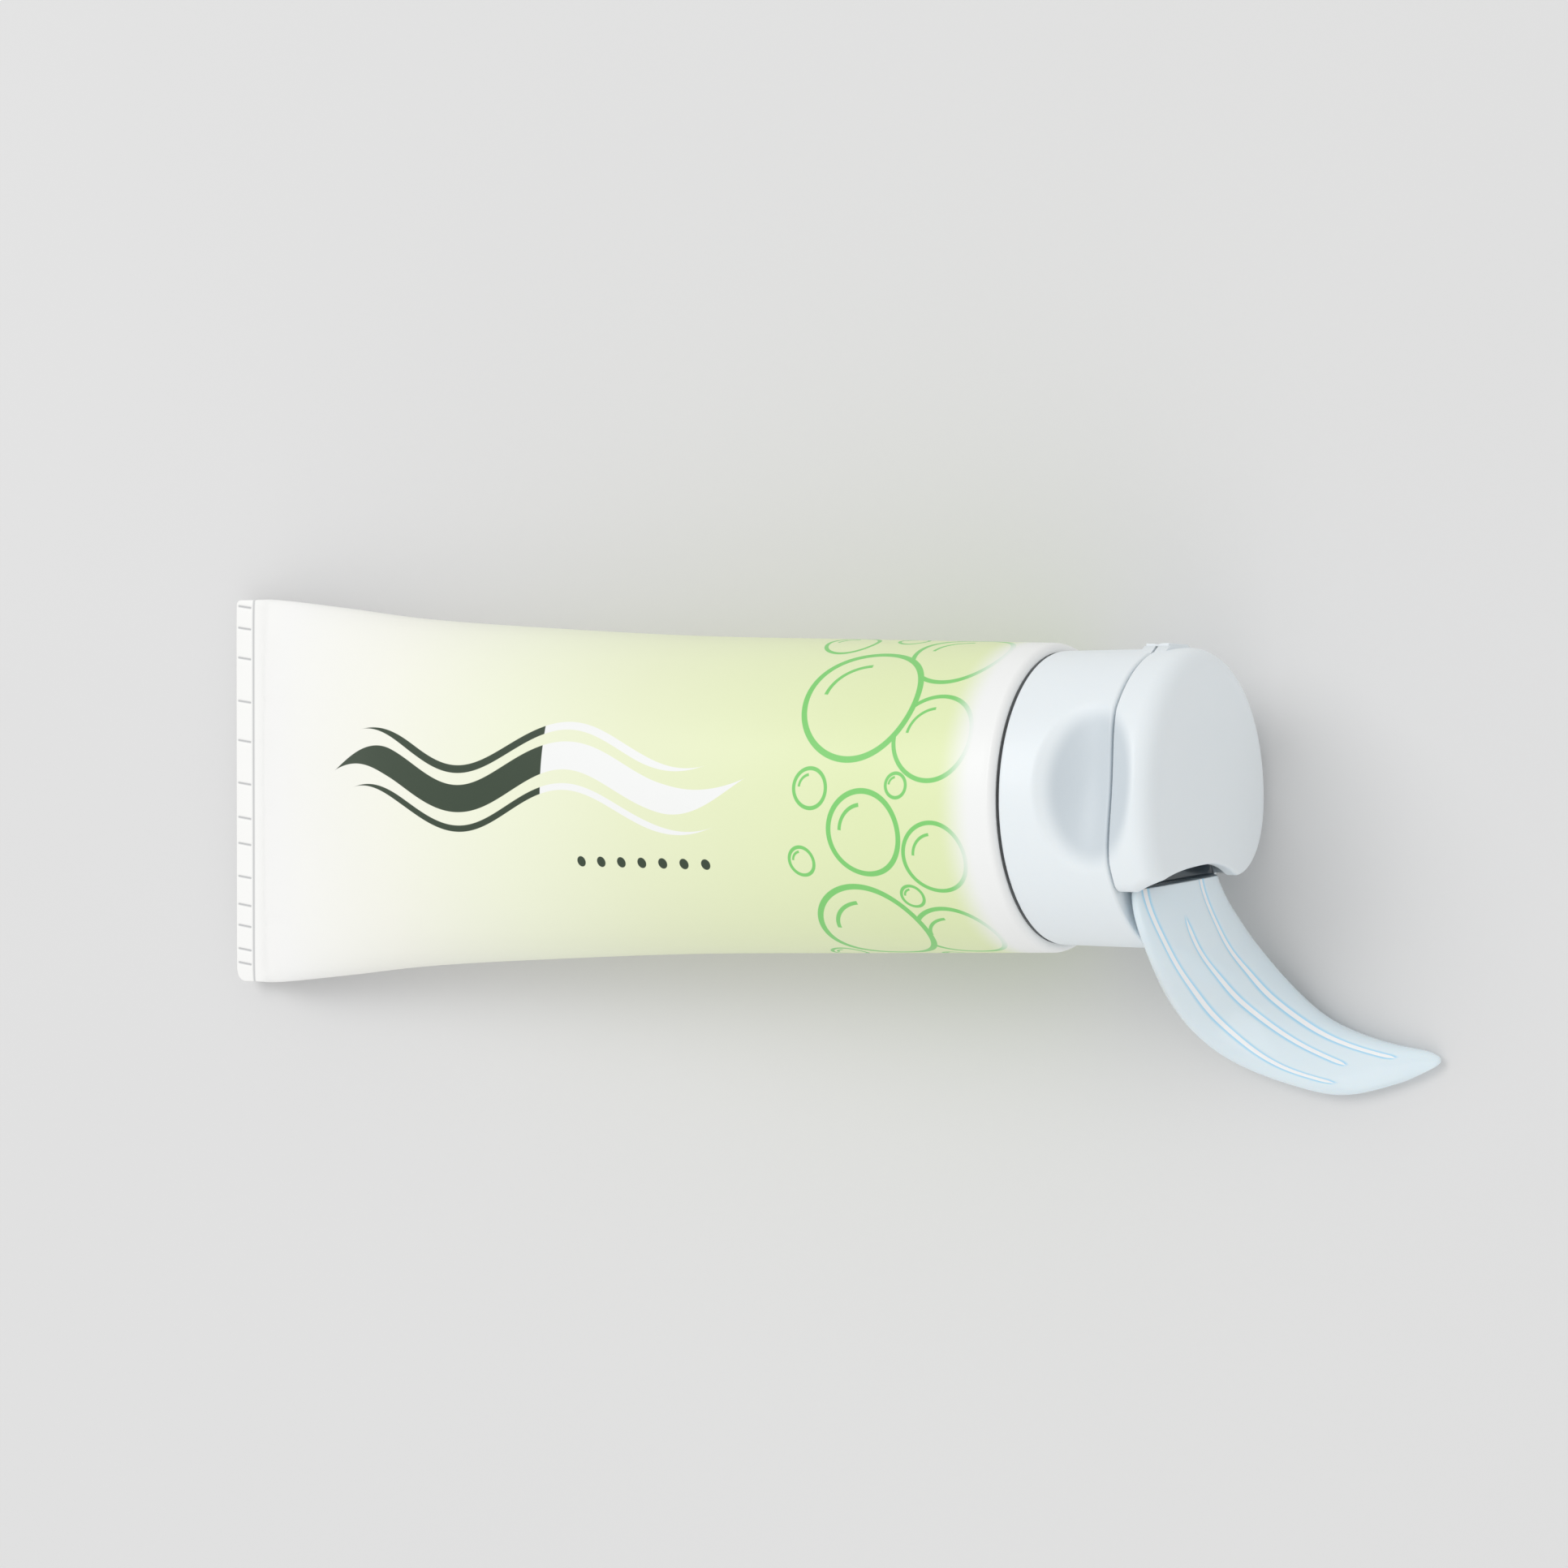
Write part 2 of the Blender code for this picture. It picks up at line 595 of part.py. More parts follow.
def make_toothpaste(collection, helpers):
    """The paste: the fill in the sleeve, the strand through the neck, and the ribbon."""
    fill = spread(FILL_START_X, FILL_END_X, FILL_RINGS, FILL_RING_BIAS)
    rings = [sleeve_ring(x, FILL_INSET) for x in fill]
    for radius, x in (
        (NECK_STRAND_RADIUS + THROAT_FLARE, THROAT_X - GAP),
        (NECK_STRAND_RADIUS, THROAT_X + THROAT_FLARE - GAP),
        (NECK_STRAND_RADIUS, SPOUT_START_X - GAP),
        (SPOUT_STRAND_RADIUS, SPOUT_START_X - GAP + STRAND_STEP),
        (SPOUT_STRAND_RADIUS, RIBBON_X),
    ):
        rings.append(round_ring(x, radius, SLEEVE_SIDES))
    white_paste = make_material("paste", (0.74, 0.83, 0.88), 0.3)
    paste = loft("toothpaste", rings, collection, white_paste)
    last = len(RIBBON_STATIONS) - 1
    steps = [index / RIBBON_STEPS for index in range(last * RIBBON_STEPS + 1)]
    ribbon = loft("ribbon", [ribbon_ring(at) for at in steps], helpers)
    boolean(paste, ribbon, "UNION")
    return paste


def main():
    clear_scene()
    parts = new_collection("toothpaste_tube")
    helpers = new_collection("helpers")
    make_sleeve(parts)
    make_shoulder(parts)
    make_cap_base(parts, helpers)
    make_cap_lid(parts, helpers)
    make_toothpaste(parts, helpers)


main()
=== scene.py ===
"""Looks of the squeezed toothpaste tube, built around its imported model.

The row frame holds: +X runs along the tube to the cap, +Z is up, and the surface it lies on is z = 0.
Lengths are in millimetres and become metres where a mesh is made.
"""
import json
import math

import bmesh
import bpy
import numpy as np
from mathutils import Matrix, Vector
from mathutils.kdtree import KDTree


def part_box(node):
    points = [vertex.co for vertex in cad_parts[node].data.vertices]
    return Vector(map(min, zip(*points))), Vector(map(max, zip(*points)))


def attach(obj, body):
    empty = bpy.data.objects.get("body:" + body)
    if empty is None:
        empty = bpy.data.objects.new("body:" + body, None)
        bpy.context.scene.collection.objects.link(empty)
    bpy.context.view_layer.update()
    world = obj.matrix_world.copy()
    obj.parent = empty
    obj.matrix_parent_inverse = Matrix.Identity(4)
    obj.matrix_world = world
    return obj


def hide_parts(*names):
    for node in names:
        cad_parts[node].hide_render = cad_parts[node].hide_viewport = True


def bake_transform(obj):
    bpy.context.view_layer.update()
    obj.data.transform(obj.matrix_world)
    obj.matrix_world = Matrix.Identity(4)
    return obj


MM = 0.001
WELD_REACH = 0.000002  # metres
SORT_DIRECTION = Vector((1.0, 0.618, 0.414))  # skew to the pieces, so that few points tie on it
SHARP_ANGLE = 35.0  # degrees, above which an edge isn't shaded smooth
PASTE_SHARP_ANGLE = 60.0

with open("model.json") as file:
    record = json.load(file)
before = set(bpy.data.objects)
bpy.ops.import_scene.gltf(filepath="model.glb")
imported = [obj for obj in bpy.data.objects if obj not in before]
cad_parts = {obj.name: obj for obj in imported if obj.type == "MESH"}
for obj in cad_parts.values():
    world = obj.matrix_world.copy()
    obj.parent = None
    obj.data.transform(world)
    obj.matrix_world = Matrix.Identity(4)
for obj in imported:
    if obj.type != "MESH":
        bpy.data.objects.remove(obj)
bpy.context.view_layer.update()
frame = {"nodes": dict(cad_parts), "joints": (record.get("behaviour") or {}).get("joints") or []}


def node_box(name):
    """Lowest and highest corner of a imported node, in millimetres."""
    low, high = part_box(name)
    return np.array(low) / MM, np.array(high) / MM


SLEEVE_LOW, SLEEVE_HIGH = node_box("tube_sleeve")
BASE_LOW, BASE_HIGH = node_box("cap_base")
LID_LOW, LID_HIGH = node_box("cap_lid")
HINGE = np.array(frame["joints"][0]["pos_m"]) / MM

# Sleeve: the same section rule as the solid, sampled far finer.
TUBE_RADIUS = 19.25
AXIS_Z = TUBE_RADIUS
GIRTH = 2 * math.pi * TUBE_RADIUS
TAIL_X = SLEEVE_LOW[0]
SHOULDER_X = SLEEVE_HIGH[0]
SLEEVE_LENGTH = SHOULDER_X - TAIL_X
SLEEVE_WALL = 0.35
CRIMP_LENGTH = 3.6
CRIMP_HALF_THICKNESS = 0.45
CRIMP_END = TAIL_X + CRIMP_LENGTH
OPENING_LENGTH = 8.0
TAIL_LIFT = 2.65
TAIL_LIFT_SHARE = 0.26
BELLY_SAG = 0.8
BELLY_START_SHARE = 0.14
BELLY_BLEND_SHARE = 0.25
ROUND_EXPONENT = 2.0
CRIMP_EXPONENT = 8.0
LIP_RADIUS = 0.9
LIP_START_X = SHOULDER_X - LIP_RADIUS
LIP_INNER_RADIUS = 18.1
LIP_CHAMFER = 0.06
INNER_SKIN_INSET = SLEEVE_WALL + 0.1
WIDTH_OUTLINE = (
    (0.0, 30.0), (0.06, 29.75), (0.17, 27.9), (0.29, 25.6),
    (0.42, 23.85), (0.62, 21.7), (0.8, 20.5), (1.0, 19.25),
)
CAVITY_START = TAIL_X + 7.5
TAIL_CORNER_NEAR = 1.8  # corner radius on the -Y side of the tail
TAIL_CORNER_FAR = 0.7
TAIL_CORNER_SHARE = 0.999  # of a corner's radius, that its arc covers
TAIL_EDGE_INSETS = (0.2, 0.09, 0.03)  # of the first rows, to round the tail's edge

# Rows of the sleeve: their distances from the tail over the crimp, and the steps after it.
CRIMP_ROWS = (
    0.0, 0.06, 0.16, 0.3, 0.45, 0.62, 1.2, 1.9, 2.6, 3.0, 3.2, 3.35, 3.48, 3.6, 3.72, 3.86, 4.05,
)
FIRST_ROW_STEP = 0.35
ROW_STEP_GROWTH = 1.035
LARGEST_ROW_STEP = 1.15
LEAST_ROW_STEP = 0.6  # kept before the last row
# Columns of the sleeve: evenly round each side, and more at each rib and next to the side folds.
SIDE_COLUMNS = 31
RIB_COLUMNS = (-0.6, -0.4, -0.26, -0.13, 0.0, 0.13, 0.26, 0.4, 0.6)
FOLD_COLUMNS = (0.12, 0.25, 0.4, 0.6)
LEAST_COLUMN_PITCH = 0.06

# Crimp: ribs pressed unevenly across the band, and the line where the two walls part.
RIB_PLACES = (28.9, 25.5, 20.8, 14.0, 7.8, 1.1, -4.3, -8.4, -13.6, -18.0, -21.3, -25.0, -27.2)
RIB_SLANT = 0.13
RIB_DEPTH = 0.13
RIB_HALF_WIDTH = 0.2
RIB_START = 0.25  # from the tail's edge
RIB_END = 0.35  # from the crimp's inner edge
RIB_BLEND = 0.3
CRIMP_LINE_DEPTH = 0.1
CRIMP_LINE_HALF_WIDTH = 0.32

# Tension creases that run out of the crimp, as (s, tilt, start, length, half width, depth); s is the
# distance round the sleeve from its top line.
CREASES = (
    (-21.0, 0.10, 0.4, 17.0, 1.1, 0.16),
    (-12.5, 0.04, 0.3, 12.0, 0.9, 0.12),
    (-3.0, -0.02, 0.4, 15.0, 1.0, 0.13),
    (6.5, 0.03, 0.2, 11.0, 0.8, 0.11),
    (14.0, -0.05, 0.4, 16.0, 1.1, 0.15),
    (22.5, -0.12, 0.3, 14.0, 1.0, 0.14),
    (39.0, 0.06, 0.4, 15.0, 1.1, 0.15),
    (52.0, -0.03, 0.3, 12.0, 0.9, 0.13),
    (-38.0, -0.05, 0.4, 13.0, 1.0, 0.14),
    (-50.0, 0.04, 0.3, 16.0, 1.0, 0.13),
)
CREASE_NARROW = 0.6  # of its half width, where a crease starts
CREASE_WIDENING = 0.7
CREASE_RUN_IN = 0.25  # shares of its length over which a crease appears and fades
CREASE_RUN_OUT = 0.625
# Shallow places where the tube was pressed, as (x, s, length, width, depth).
DENTS = (
    (-47.0, -9.0, 13.0, 9.0, 0.45),
    (-30.0, 11.0, 15.0, 8.0, 0.35),
    (14.0, -14.0, 22.0, 9.0, 0.25),
    (-40.0, 45.0, 16.0, 9.0, 0.45),
)
SEAM_S = -GIRTH / 2 + 11.0  # the sheet's lap seam, low on the -Y side
SEAM_HALF_WIDTH = 1.1
SEAM_RISE = 0.1
SEAM_BLEND = 0.3
SEAM_RUN_IN = 2.0
SEAM_RUN_OUT = 0.6

# Cap: radii and heights as the solids have them, but for a fuller arch on the lid's end plate.
CAP_RADIUS = 18.25
CAP_WALL = 1.3
DECK_X = BASE_HIGH[0]
BASE_START_X = BASE_LOW[0]
DECK_THICKNESS = 1.5
ORIFICE_RADIUS = 3.2
ORIFICE_CHAMFER = 0.25
SPOUT_RADIUS = 4.9
SPOUT_START_X = SHOULDER_X + 8.5
COLLAR_RADIUS = 8.3
COLLAR_WALL = 1.5
COLLAR_START_X = SHOULDER_X + 2.2
EDGE_ROUND = 0.4
DECK_RINGS = np.linspace(4.5, 17.2, 15)
UNDERSIDE_RINGS = (15.0, 12.0)
CAP_SIDES = 224

LID_START_X = LID_LOW[0]
LID_END_X = LID_HIGH[0]
LID_FOOT_ROUND = 0.15
LID_EDGE_ROUND = 2.6
LID_PLATE_ROUND = 0.35  # along the arched edge of the end plate
LID_CEILING_X = LID_END_X - 1.5
LID_CEILING_FILLET = 1.0
LID_CHORD_Y = -10.0
LID_TURN = math.radians(3.5)
LID_FRONT_CORNER = 2.2
LID_BACK_CORNER = 10.5
LID_LEAST_CORNER = 0.3
ARCH_RISE = 2.2
ARCH_PEAK_Z = 3.3
ARCH_FULLNESS = 2.6
ARCH_FRONT_REACH = 16.0
ARCH_BACK_REACH = 10.8
ARCH_SLANT = 1.59
MOUTH_FRONT = 12.4
MOUTH_BACK = -9.8
MOUTH_DEPTH_Y = LID_CHORD_Y + ARCH_RISE + CAP_WALL + 0.6
CUT_PAST = 1.0  # how far a cutter runs past the lid's foot
MOUTH_SHADE_START = 0.2  # painted shade inside the mouth runs from here to the reach below, in from the lid's flat side
MOUTH_SHADE_RUN_IN = 0.8
MOUTH_SHADE_REACH = 6.5
MOUTH_SHADE_BLEND = 2.0
MOUTH_SHADE_PAST_MOUTH = 1.5
MOUTH_SHADE_END_X = LID_CEILING_X + 0.1
GUIDE_RADIUS = 8.6
GUIDE_WALL = 1.1
GUIDE_LEG_Y = -4.5
GUIDE_START_X = DECK_X + 0.7
GUIDE_SEATED = 0.4  # into the ceiling

RECESS_X = SHOULDER_X + 11.3
RECESS_TURN = math.radians(6.0)
RECESS_DEPTH = 3.0
RECESS_HALF_LENGTH = 6.6  # along the tube
RECESS_HALF_WIDTH = 10.8  # around the cap
RECESS_POWER = 1.35
RECESS_CORE = 10.6  # nothing nearer the axis than this is moved
SHADE_OVAL_X = 88.5  # middle of the oval of painted shade over the recess
SHADE_OVAL_HALF_LENGTH = 5.9
SHADE_OVAL_HALF_WIDTH = 10.2
SHADE_OVAL_EDGE = 1.08  # where the oval's painted shade ends, and the width of its soft edge, as shares of it
SHADE_OVAL_BLEND = 0.3
SHADE_OVAL_SKIN = 0.6  # how far under the outer face the painted shade reaches

WEB_HALF_WIDTH = 4.6  # at its foot; its sides slope in
WEB_FACE_HALF_WIDTH = 3.0
WEB_FOOT_DEPTH = 0.8  # inside the cap's radius
WEB_LENGTH = 1.5
WEB_FACE_Y = CAP_RADIUS + 0.25
FILM_HALF_WIDTH = 2.9
FILM_REACH = 1.3  # how far the film runs onto each web
FILM_THICKNESS = 0.3
FILM_THINNING = 0.45  # over the seam, as a share
FILM_THIN_REACH = 0.35
FILM_EDGE = 0.1
FILM_SEATED = 0.06

# Paste: a fill in the sleeve, a strand through the neck, and a ribbon from the mouth to the floor.
FLOOR_CLEARANCE = 0.03
RIBBON_X = DECK_X + 2.3
RIBBON_FULLNESS = 2.6
# Stations of the paste's ribbon, close to the solid's, as (upper edge, lower edge, thickness).
RIBBON_STATIONS = (
    ((RIBBON_X, 4.2, 22.0), (RIBBON_X, 4.2, 16.5), 2.6),
    ((RIBBON_X, 1.5, 24.9), (RIBBON_X, 1.5, 13.6), 3.5),
    ((92.3, -4.0, 27.2), (93.0, -4.0, 12.5), 3.3),
    ((91.8, -10.4, 31.1), (93.8, -10.0, 12.0), 3.0),
    ((91.8, -16.8, 28.4), (94.9, -14.9, 8.2), 3.4),
    ((89.4, -23.0, 18.2), (96.6, -19.1, 4.3), 4.6),
    ((88.2, -28.2, 8.8), (100.1, -23.5, 2.7), 4.8),
    ((91.0, -32.4, 3.7), (104.6, -27.3, 2.5), 4.6),
    ((96.0, -34.9, 2.2), (109.4, -29.3, 2.2), 4.2),
    ((101.2, -36.3, 1.9), (114.0, -30.4, 1.8), 3.6),
    ((106.8, -36.8, 1.3), (117.3, -31.0, 1.4), 2.6),
    ((113.0, -35.1, 0.8), (119.2, -32.0, 0.8), 1.4),
)
RIBBON_SIDES = 140
# Rows of the ribbon, as (start, end, step) along its middle: closest at the mouth's edge.
RIBBON_ROWS = ((0.0, 12.4, 0.4), (12.4, 13.2, 0.16), (13.2, 15.6, 0.06), (15.6, 17.0, 0.16))
RIBBON_ROW_STEP = 0.3  # from there to the tip
TIP_ROWS_LENGTH = 2.0
COURSE_REACH = 0.3  # each way, to find the ribbon's direction
# White stripes in the paste, as (start, end, places across); start and end are distances along the
# ribbon's middle, and the places, from -1 to 1, are evenly spaced between them.
STRIPES = (
    (11.0, 55.7, (1.0, 0.84, 0.74, 0.61, 0.46, 0.37, 0.49, 0.5)),
    (18.1, 53.4, (0.22, 0.23, 0.12, -0.01, -0.18, -0.3, -0.24, -0.11)),
    (10.1, 56.2, (-0.36, -0.37, -0.34, -0.44, -0.58, -0.74, -0.7, -0.68)),
)
STRIPE_START_TAPER = 3.0
STRIPE_END_TAPER = 1.8
STRIPE_HALF_WIDTH = 0.34
STRIPE_GROOVE = 0.14
STRIPE_GROOVE_REACH = 0.5
FAR_FROM_STRIPES = 5.0
SAME_POINT = 0.05
MOUTH_LIP_Y = -9.95  # inside the mouth the paste's near face is sunk past this line
MOUTH_LIP_SLOPE = -0.061  # as the lid's lower edge, which dips towards the front
MOUTH_SUNK = 1.75  # in half thicknesses
SUNK_START_Y = -4.0
SUNK_RUN_IN = 2.0
SUNK_RUN_OUT = 0.3
TIP_ROUND = 1.1  # radius of the tip, at the end of the ribbon's right edge
TIP_RUN = 2.3  # along the ribbon's middle
TIP_EDGE_ROUND = 0.05
ROOT_ROUND = 1.1
LEAST_END_SHARE = 0.06  # of the ribbon's width, in the last row of a rounded end
FILL_INSET = 0.8
FILL_START_X = TAIL_X + 12.0
FILL_END_X = SHOULDER_X - 3.5
NECK_BORE = 5.4
NECK_STRAND_RADIUS = NECK_BORE - 0.3
THROAT_X = SHOULDER_X - 1.6
SPOUT_STRAND_RADIUS = ORIFICE_RADIUS - 0.3
# The strand from the fill to the ribbon, as (x, radius).
STRAND = (
    (THROAT_X - 0.3, NECK_STRAND_RADIUS + 1.0), (THROAT_X + 0.7, NECK_STRAND_RADIUS),
    (SPOUT_START_X - 0.3, NECK_STRAND_RADIUS), (SPOUT_START_X - 0.2, SPOUT_STRAND_RADIUS),
    (DECK_X, SPOUT_STRAND_RADIUS), (RIBBON_X, SPOUT_STRAND_RADIUS),
)

# Camera: above the cap, tilted along the tube, a little towards +Y.
CAMERA_TARGET = Vector((35.38, 1.563, 19.25))
CAMERA_TILT = math.radians(32.222)
CAMERA_RISE = math.radians(0.405)
CAMERA_DISTANCE = 377.65
CAMERA_LENS = 65.65
CAMERA_SENSOR = 36.0

# Floor and lamps.
FLOOR_REACH = 8000.0
FLOOR_DROP = 0.05
LAMP_AIM = Vector((0.02, 0.0, 0.0))  # metres
LAMP_DISTANCE = 2.0  # metres
WORLD_STRENGTH = 0.74


# ---- shapes

def smoothstep(value):
    """0 to 1 with level ends, for a share between 0 and 1."""
    value = np.clip(value, 0.0, 1.0)
    return value * value * (3 - 2 * value)


def chord_slopes(knots, values):
    """Slopes by the solid's own rule: at each knot, that of the chord between its neighbours."""
    run, rise = (np.pad(row, 1, "edge") for row in (knots, values))
    return (rise[2:] - rise[:-2]) / (run[2:] - run[:-2])


def natural_slopes(knots, values):
    """Slopes that keep the curvature continuous and leave both ends free."""
    near = 1 / np.diff(knots)
    system = np.diag(near, 1) + np.diag(near, -1)
    system += 2 * np.diag(system.sum(1))
    rises = (3 * np.diff(values, axis=0).T * near ** 2).T
    wanted = np.zeros_like(values)
    wanted[:-1] += rises
    wanted[1:] += rises
    return np.linalg.solve(system, wanted)


class Curve:
    """A smooth curve through values at rising knots, with one cubic from each knot to the next."""

    def __init__(self, knots, values, slopes=natural_slopes):
        self.knots = np.asarray(knots, float)
        self.values = np.asarray(values, float)
        self.slopes = slopes(self.knots, self.values)

    def at(self, place):
        """The curve's value at a place or at each of many; past an end it stays what it is there."""
        place = np.clip(place, self.knots[0], self.knots[-1])
        first = np.clip(np.searchsorted(self.knots, place) - 1, 0, len(self.knots) - 2)
        span = self.knots[first + 1] - self.knots[first]
        u = (place - self.knots[first]) / span
        values, slopes = self.values.T, self.slopes.T
        return (
            values[..., first] * (1 + 2 * u) * (1 - u) ** 2
            + slopes[..., first] * (span * u * (1 - u) ** 2)
            + values[..., first + 1] * (u * u * (3 - 2 * u))
            + slopes[..., first + 1] * (span * u * u * (u - 1))
        ).T


WIDTH = Curve(*zip(*WIDTH_OUTLINE), slopes=chord_slopes)


def quarter_turn(steps):
    """Angles from 0 to a right angle in equal steps."""
    return np.linspace(0.0, math.pi / 2, steps + 1)


def half_height(width):
    """Half height of the ellipse that keeps the sleeve's girth at this half width."""
    low, high = 0.0, TUBE_RADIUS
    for _ in range(40):
        middle = (low + high) / 2
        root = math.sqrt((3 * width + middle) * (width + 3 * middle))
        if math.pi * (3 * (width + middle) - root) < GIRTH:
            low = middle
        else:
            high = middle
    return high


def section(x):
    """Half width, half height, centre height and section exponent of the sleeve at x."""
    share = (x - TAIL_X) / SLEEVE_LENGTH
    width = WIDTH.at(share)
    opened = smoothstep((x - CRIMP_END) / OPENING_LENGTH)
    height = CRIMP_HALF_THICKNESS + (half_height(width) - CRIMP_HALF_THICKNESS) * opened
    lift = TAIL_LIFT * (1 - smoothstep(share / TAIL_LIFT_SHARE))
    run_in = smoothstep((share - BELLY_START_SHARE) / BELLY_BLEND_SHARE)
    run_out = smoothstep((1 - share) / BELLY_BLEND_SHARE)
    exponent = CRIMP_EXPONENT + (ROUND_EXPONENT - CRIMP_EXPONENT) * opened
    return width, height, lift + height - BELLY_SAG * run_in * run_out, exponent


def rounded(angle, exponent):
    """Points at angles on the unit curve between a circle (exponent 2) and a square."""
    cosine = np.cos(angle)
    sine = np.sin(angle)
    power = 2 / exponent
    return np.copysign(np.abs(cosine) ** power, cosine), np.copysign(np.abs(sine) ** power, sine)


def half_columns(side):
    """Distances from the top line round one side to the bottom line, closer at each rib."""
    quarter = GIRTH / 4
    places = set(np.linspace(0.0, quarter, SIDE_COLUMNS))
    for rib in RIB_PLACES:
        places.update(side * rib + offset for offset in RIB_COLUMNS)
    places.update(quarter - offset for offset in FOLD_COLUMNS)
    kept = []
    for place in sorted(place for place in places if 0.0 <= place <= quarter):
        if not kept or place - kept[-1] > LEAST_COLUMN_PITCH:
            kept.append(place)
    kept[-1] = quarter
    top = np.array(kept)
    return np.concatenate([top, GIRTH / 2 - top[-2::-1]])


def full_columns():
    """Signed distances around the sleeve from its top line, from the bottom line round to it."""
    return np.concatenate([-half_columns(-1)[:0:-1], half_columns(1)[:-1]])


COLUMNS = full_columns()


def along_quarter(width, height, exponent, side, places):
    """Offsets (across, up) at distances from the crown of a quarter section to its side."""
    fine = np.linspace(0.0, 1.0, 500)
    turn = math.pi / 2 * fine ** 3 / (fine ** 3 + (1 - fine) ** 3)
    up, across = rounded(turn, exponent)
    across = across * width
    up = up * height
    length = np.concatenate([[0.0], np.cumsum(np.hypot(np.diff(across), np.diff(up)))])
    at = places / side * length[-1]
    return np.interp(at, length, across), np.interp(at, length, up)


def sleeve_row(x, inset):
    """One row of sleeve points, each on the same line of the sheet as in every other row."""
    width, height, centre, exponent = section(x)
    around = np.abs(COLUMNS)
    side = GIRTH / 4
    upper = around <= side
    places = np.where(upper, around, GIRTH / 2 - around)
    across, up = along_quarter(width - inset, height - inset, exponent, side, places)
    y = np.copysign(across, COLUMNS)
    z = np.maximum(centre + np.where(upper, up, -up), inset)
    return np.stack([np.full_like(y, x), y, z], 1)


def circle_row(x, radius):
    """A circle about the tube's axis with its points on the sleeve's lines."""
    turn = COLUMNS / TUBE_RADIUS
    y = radius * np.sin(turn)
    return np.stack([np.full_like(y, x), y, AXIS_Z + radius * np.cos(turn)], 1)


def shade(mesh, sharp_angle):
    """Smooth shading apart from edges sharper than an angle in degrees."""
    mesh.shade_smooth()
    mesh.set_sharp_from_angle(angle=math.radians(sharp_angle))


def add_object(name, data):
    """A new object in the scene."""
    added = bpy.data.objects.new(name, data)
    bpy.context.scene.collection.objects.link(added)
    return added


def mesh_object(name, vertices, faces, sharp_angle=SHARP_ANGLE):
    """A smooth-shaded object from millimetre points, with its faces pointing out."""
    mesh = bpy.data.meshes.new(name)
    mesh.from_pydata((np.asarray(vertices) * MM).tolist(), [], faces)
    bm = bmesh.new()
    bm.from_mesh(mesh)
    bmesh.ops.recalc_face_normals(bm, faces=bm.faces)
    bm.to_mesh(mesh)
    bm.free()
    shade(mesh, sharp_angle)
    return add_object(name, mesh)


def grid_faces(rows, columns, closed_rows):
    """Quads over a grid of points whose columns run round; rows may run round too."""
    corners = np.arange(rows * columns).reshape(rows, columns)
    beside = np.roll(corners, -1, axis=1)
    after = [np.roll(points, -1, axis=0) for points in (beside, corners)]
    quads = np.stack([corners, beside, *after], 2)
    return quads[:rows if closed_rows else rows - 1].reshape(-1, 4).tolist()


def loft(name, rows, capped=True, sharp_angle=SHARP_ANGLE):
    """A body over rows of points; the first and last rows are capped, or meet each other."""
    rows = np.asarray(rows)
    count, columns = rows.shape[:2]
    faces = grid_faces(count, columns, not capped)
    if capped:
        faces.append(tuple(range(columns)))
        faces.append(tuple((count - 1) * columns + column for column in range(columns)))
    return mesh_object(name, rows.reshape(-1, 3), faces, sharp_angle)


def surface_normals(rows):
    """Outward unit normals of a grid whose columns run round the tube."""
    around = np.roll(rows, -1, axis=1) - np.roll(rows, 1, axis=1)
    along = np.gradient(rows, axis=0)
    normal = np.cross(along, around)
    return normal / np.maximum(np.linalg.norm(normal, axis=2, keepdims=True), 1e-9)


def boolean(piece, helper, operation):
    """Cut or join a helper and apply the result."""
    cut = piece.modifiers.new(operation.lower(), "BOOLEAN")
    cut.operation = operation
    cut.solver = "EXACT"
    cut.object = helper
    bpy.context.view_layer.update()
    evaluated = piece.evaluated_get(bpy.context.evaluated_depsgraph_get())
    mesh = bpy.data.meshes.new_from_object(evaluated)
    piece.modifiers.clear()
    old = piece.data
    piece.data = mesh
    bpy.data.meshes.remove(old)
    bpy.data.objects.remove(helper)


def finish_mesh(piece, sharp_angle=SHARP_ANGLE):
    """Tidy what a boolean left, alike in each run: welded, closed and without many-sided faces."""
    bm = bmesh.new()
    bm.from_mesh(piece.data)
    bm.verts.sort(key=lambda vertex: vertex.co.dot(SORT_DIRECTION))
    bm.faces.sort(key=lambda face: face.calc_center_median().dot(SORT_DIRECTION))
    bmesh.ops.remove_doubles(bm, verts=bm.verts, dist=WELD_REACH)
    bmesh.ops.dissolve_degenerate(bm, edges=bm.edges, dist=WELD_REACH)
    bmesh.ops.holes_fill(bm, edges=bm.edges, sides=3)
    bmesh.ops.triangulate(bm, faces=[face for face in bm.faces if len(face.verts) > 4])
    bm.to_mesh(piece.data)
    bm.free()
    shade(piece.data, sharp_angle)


def read_all(items, name, kind=int, width=1):
    """A value, or a few in a row, of every item of a mesh."""
    values = np.zeros(len(items) * width, kind)
    items.foreach_get(name, values)
    return values


def positions(piece):
    """The piece's points in millimetres, as rows of an array."""
    return read_all(piece.data.vertices, "co", float, 3).reshape(-1, 3) / MM


def add_values(piece, name, values):
    """Store one number, or a vector of three, at each point of a piece."""
    values = np.asarray(values, float)
    kind = "FLOAT" if values.ndim == 1 else "FLOAT_VECTOR"
    attribute = piece.data.attributes.new(name, kind, "POINT")
    attribute.data.foreach_set("value" if kind == "FLOAT" else "vector", values.ravel())


# ---- sleeve

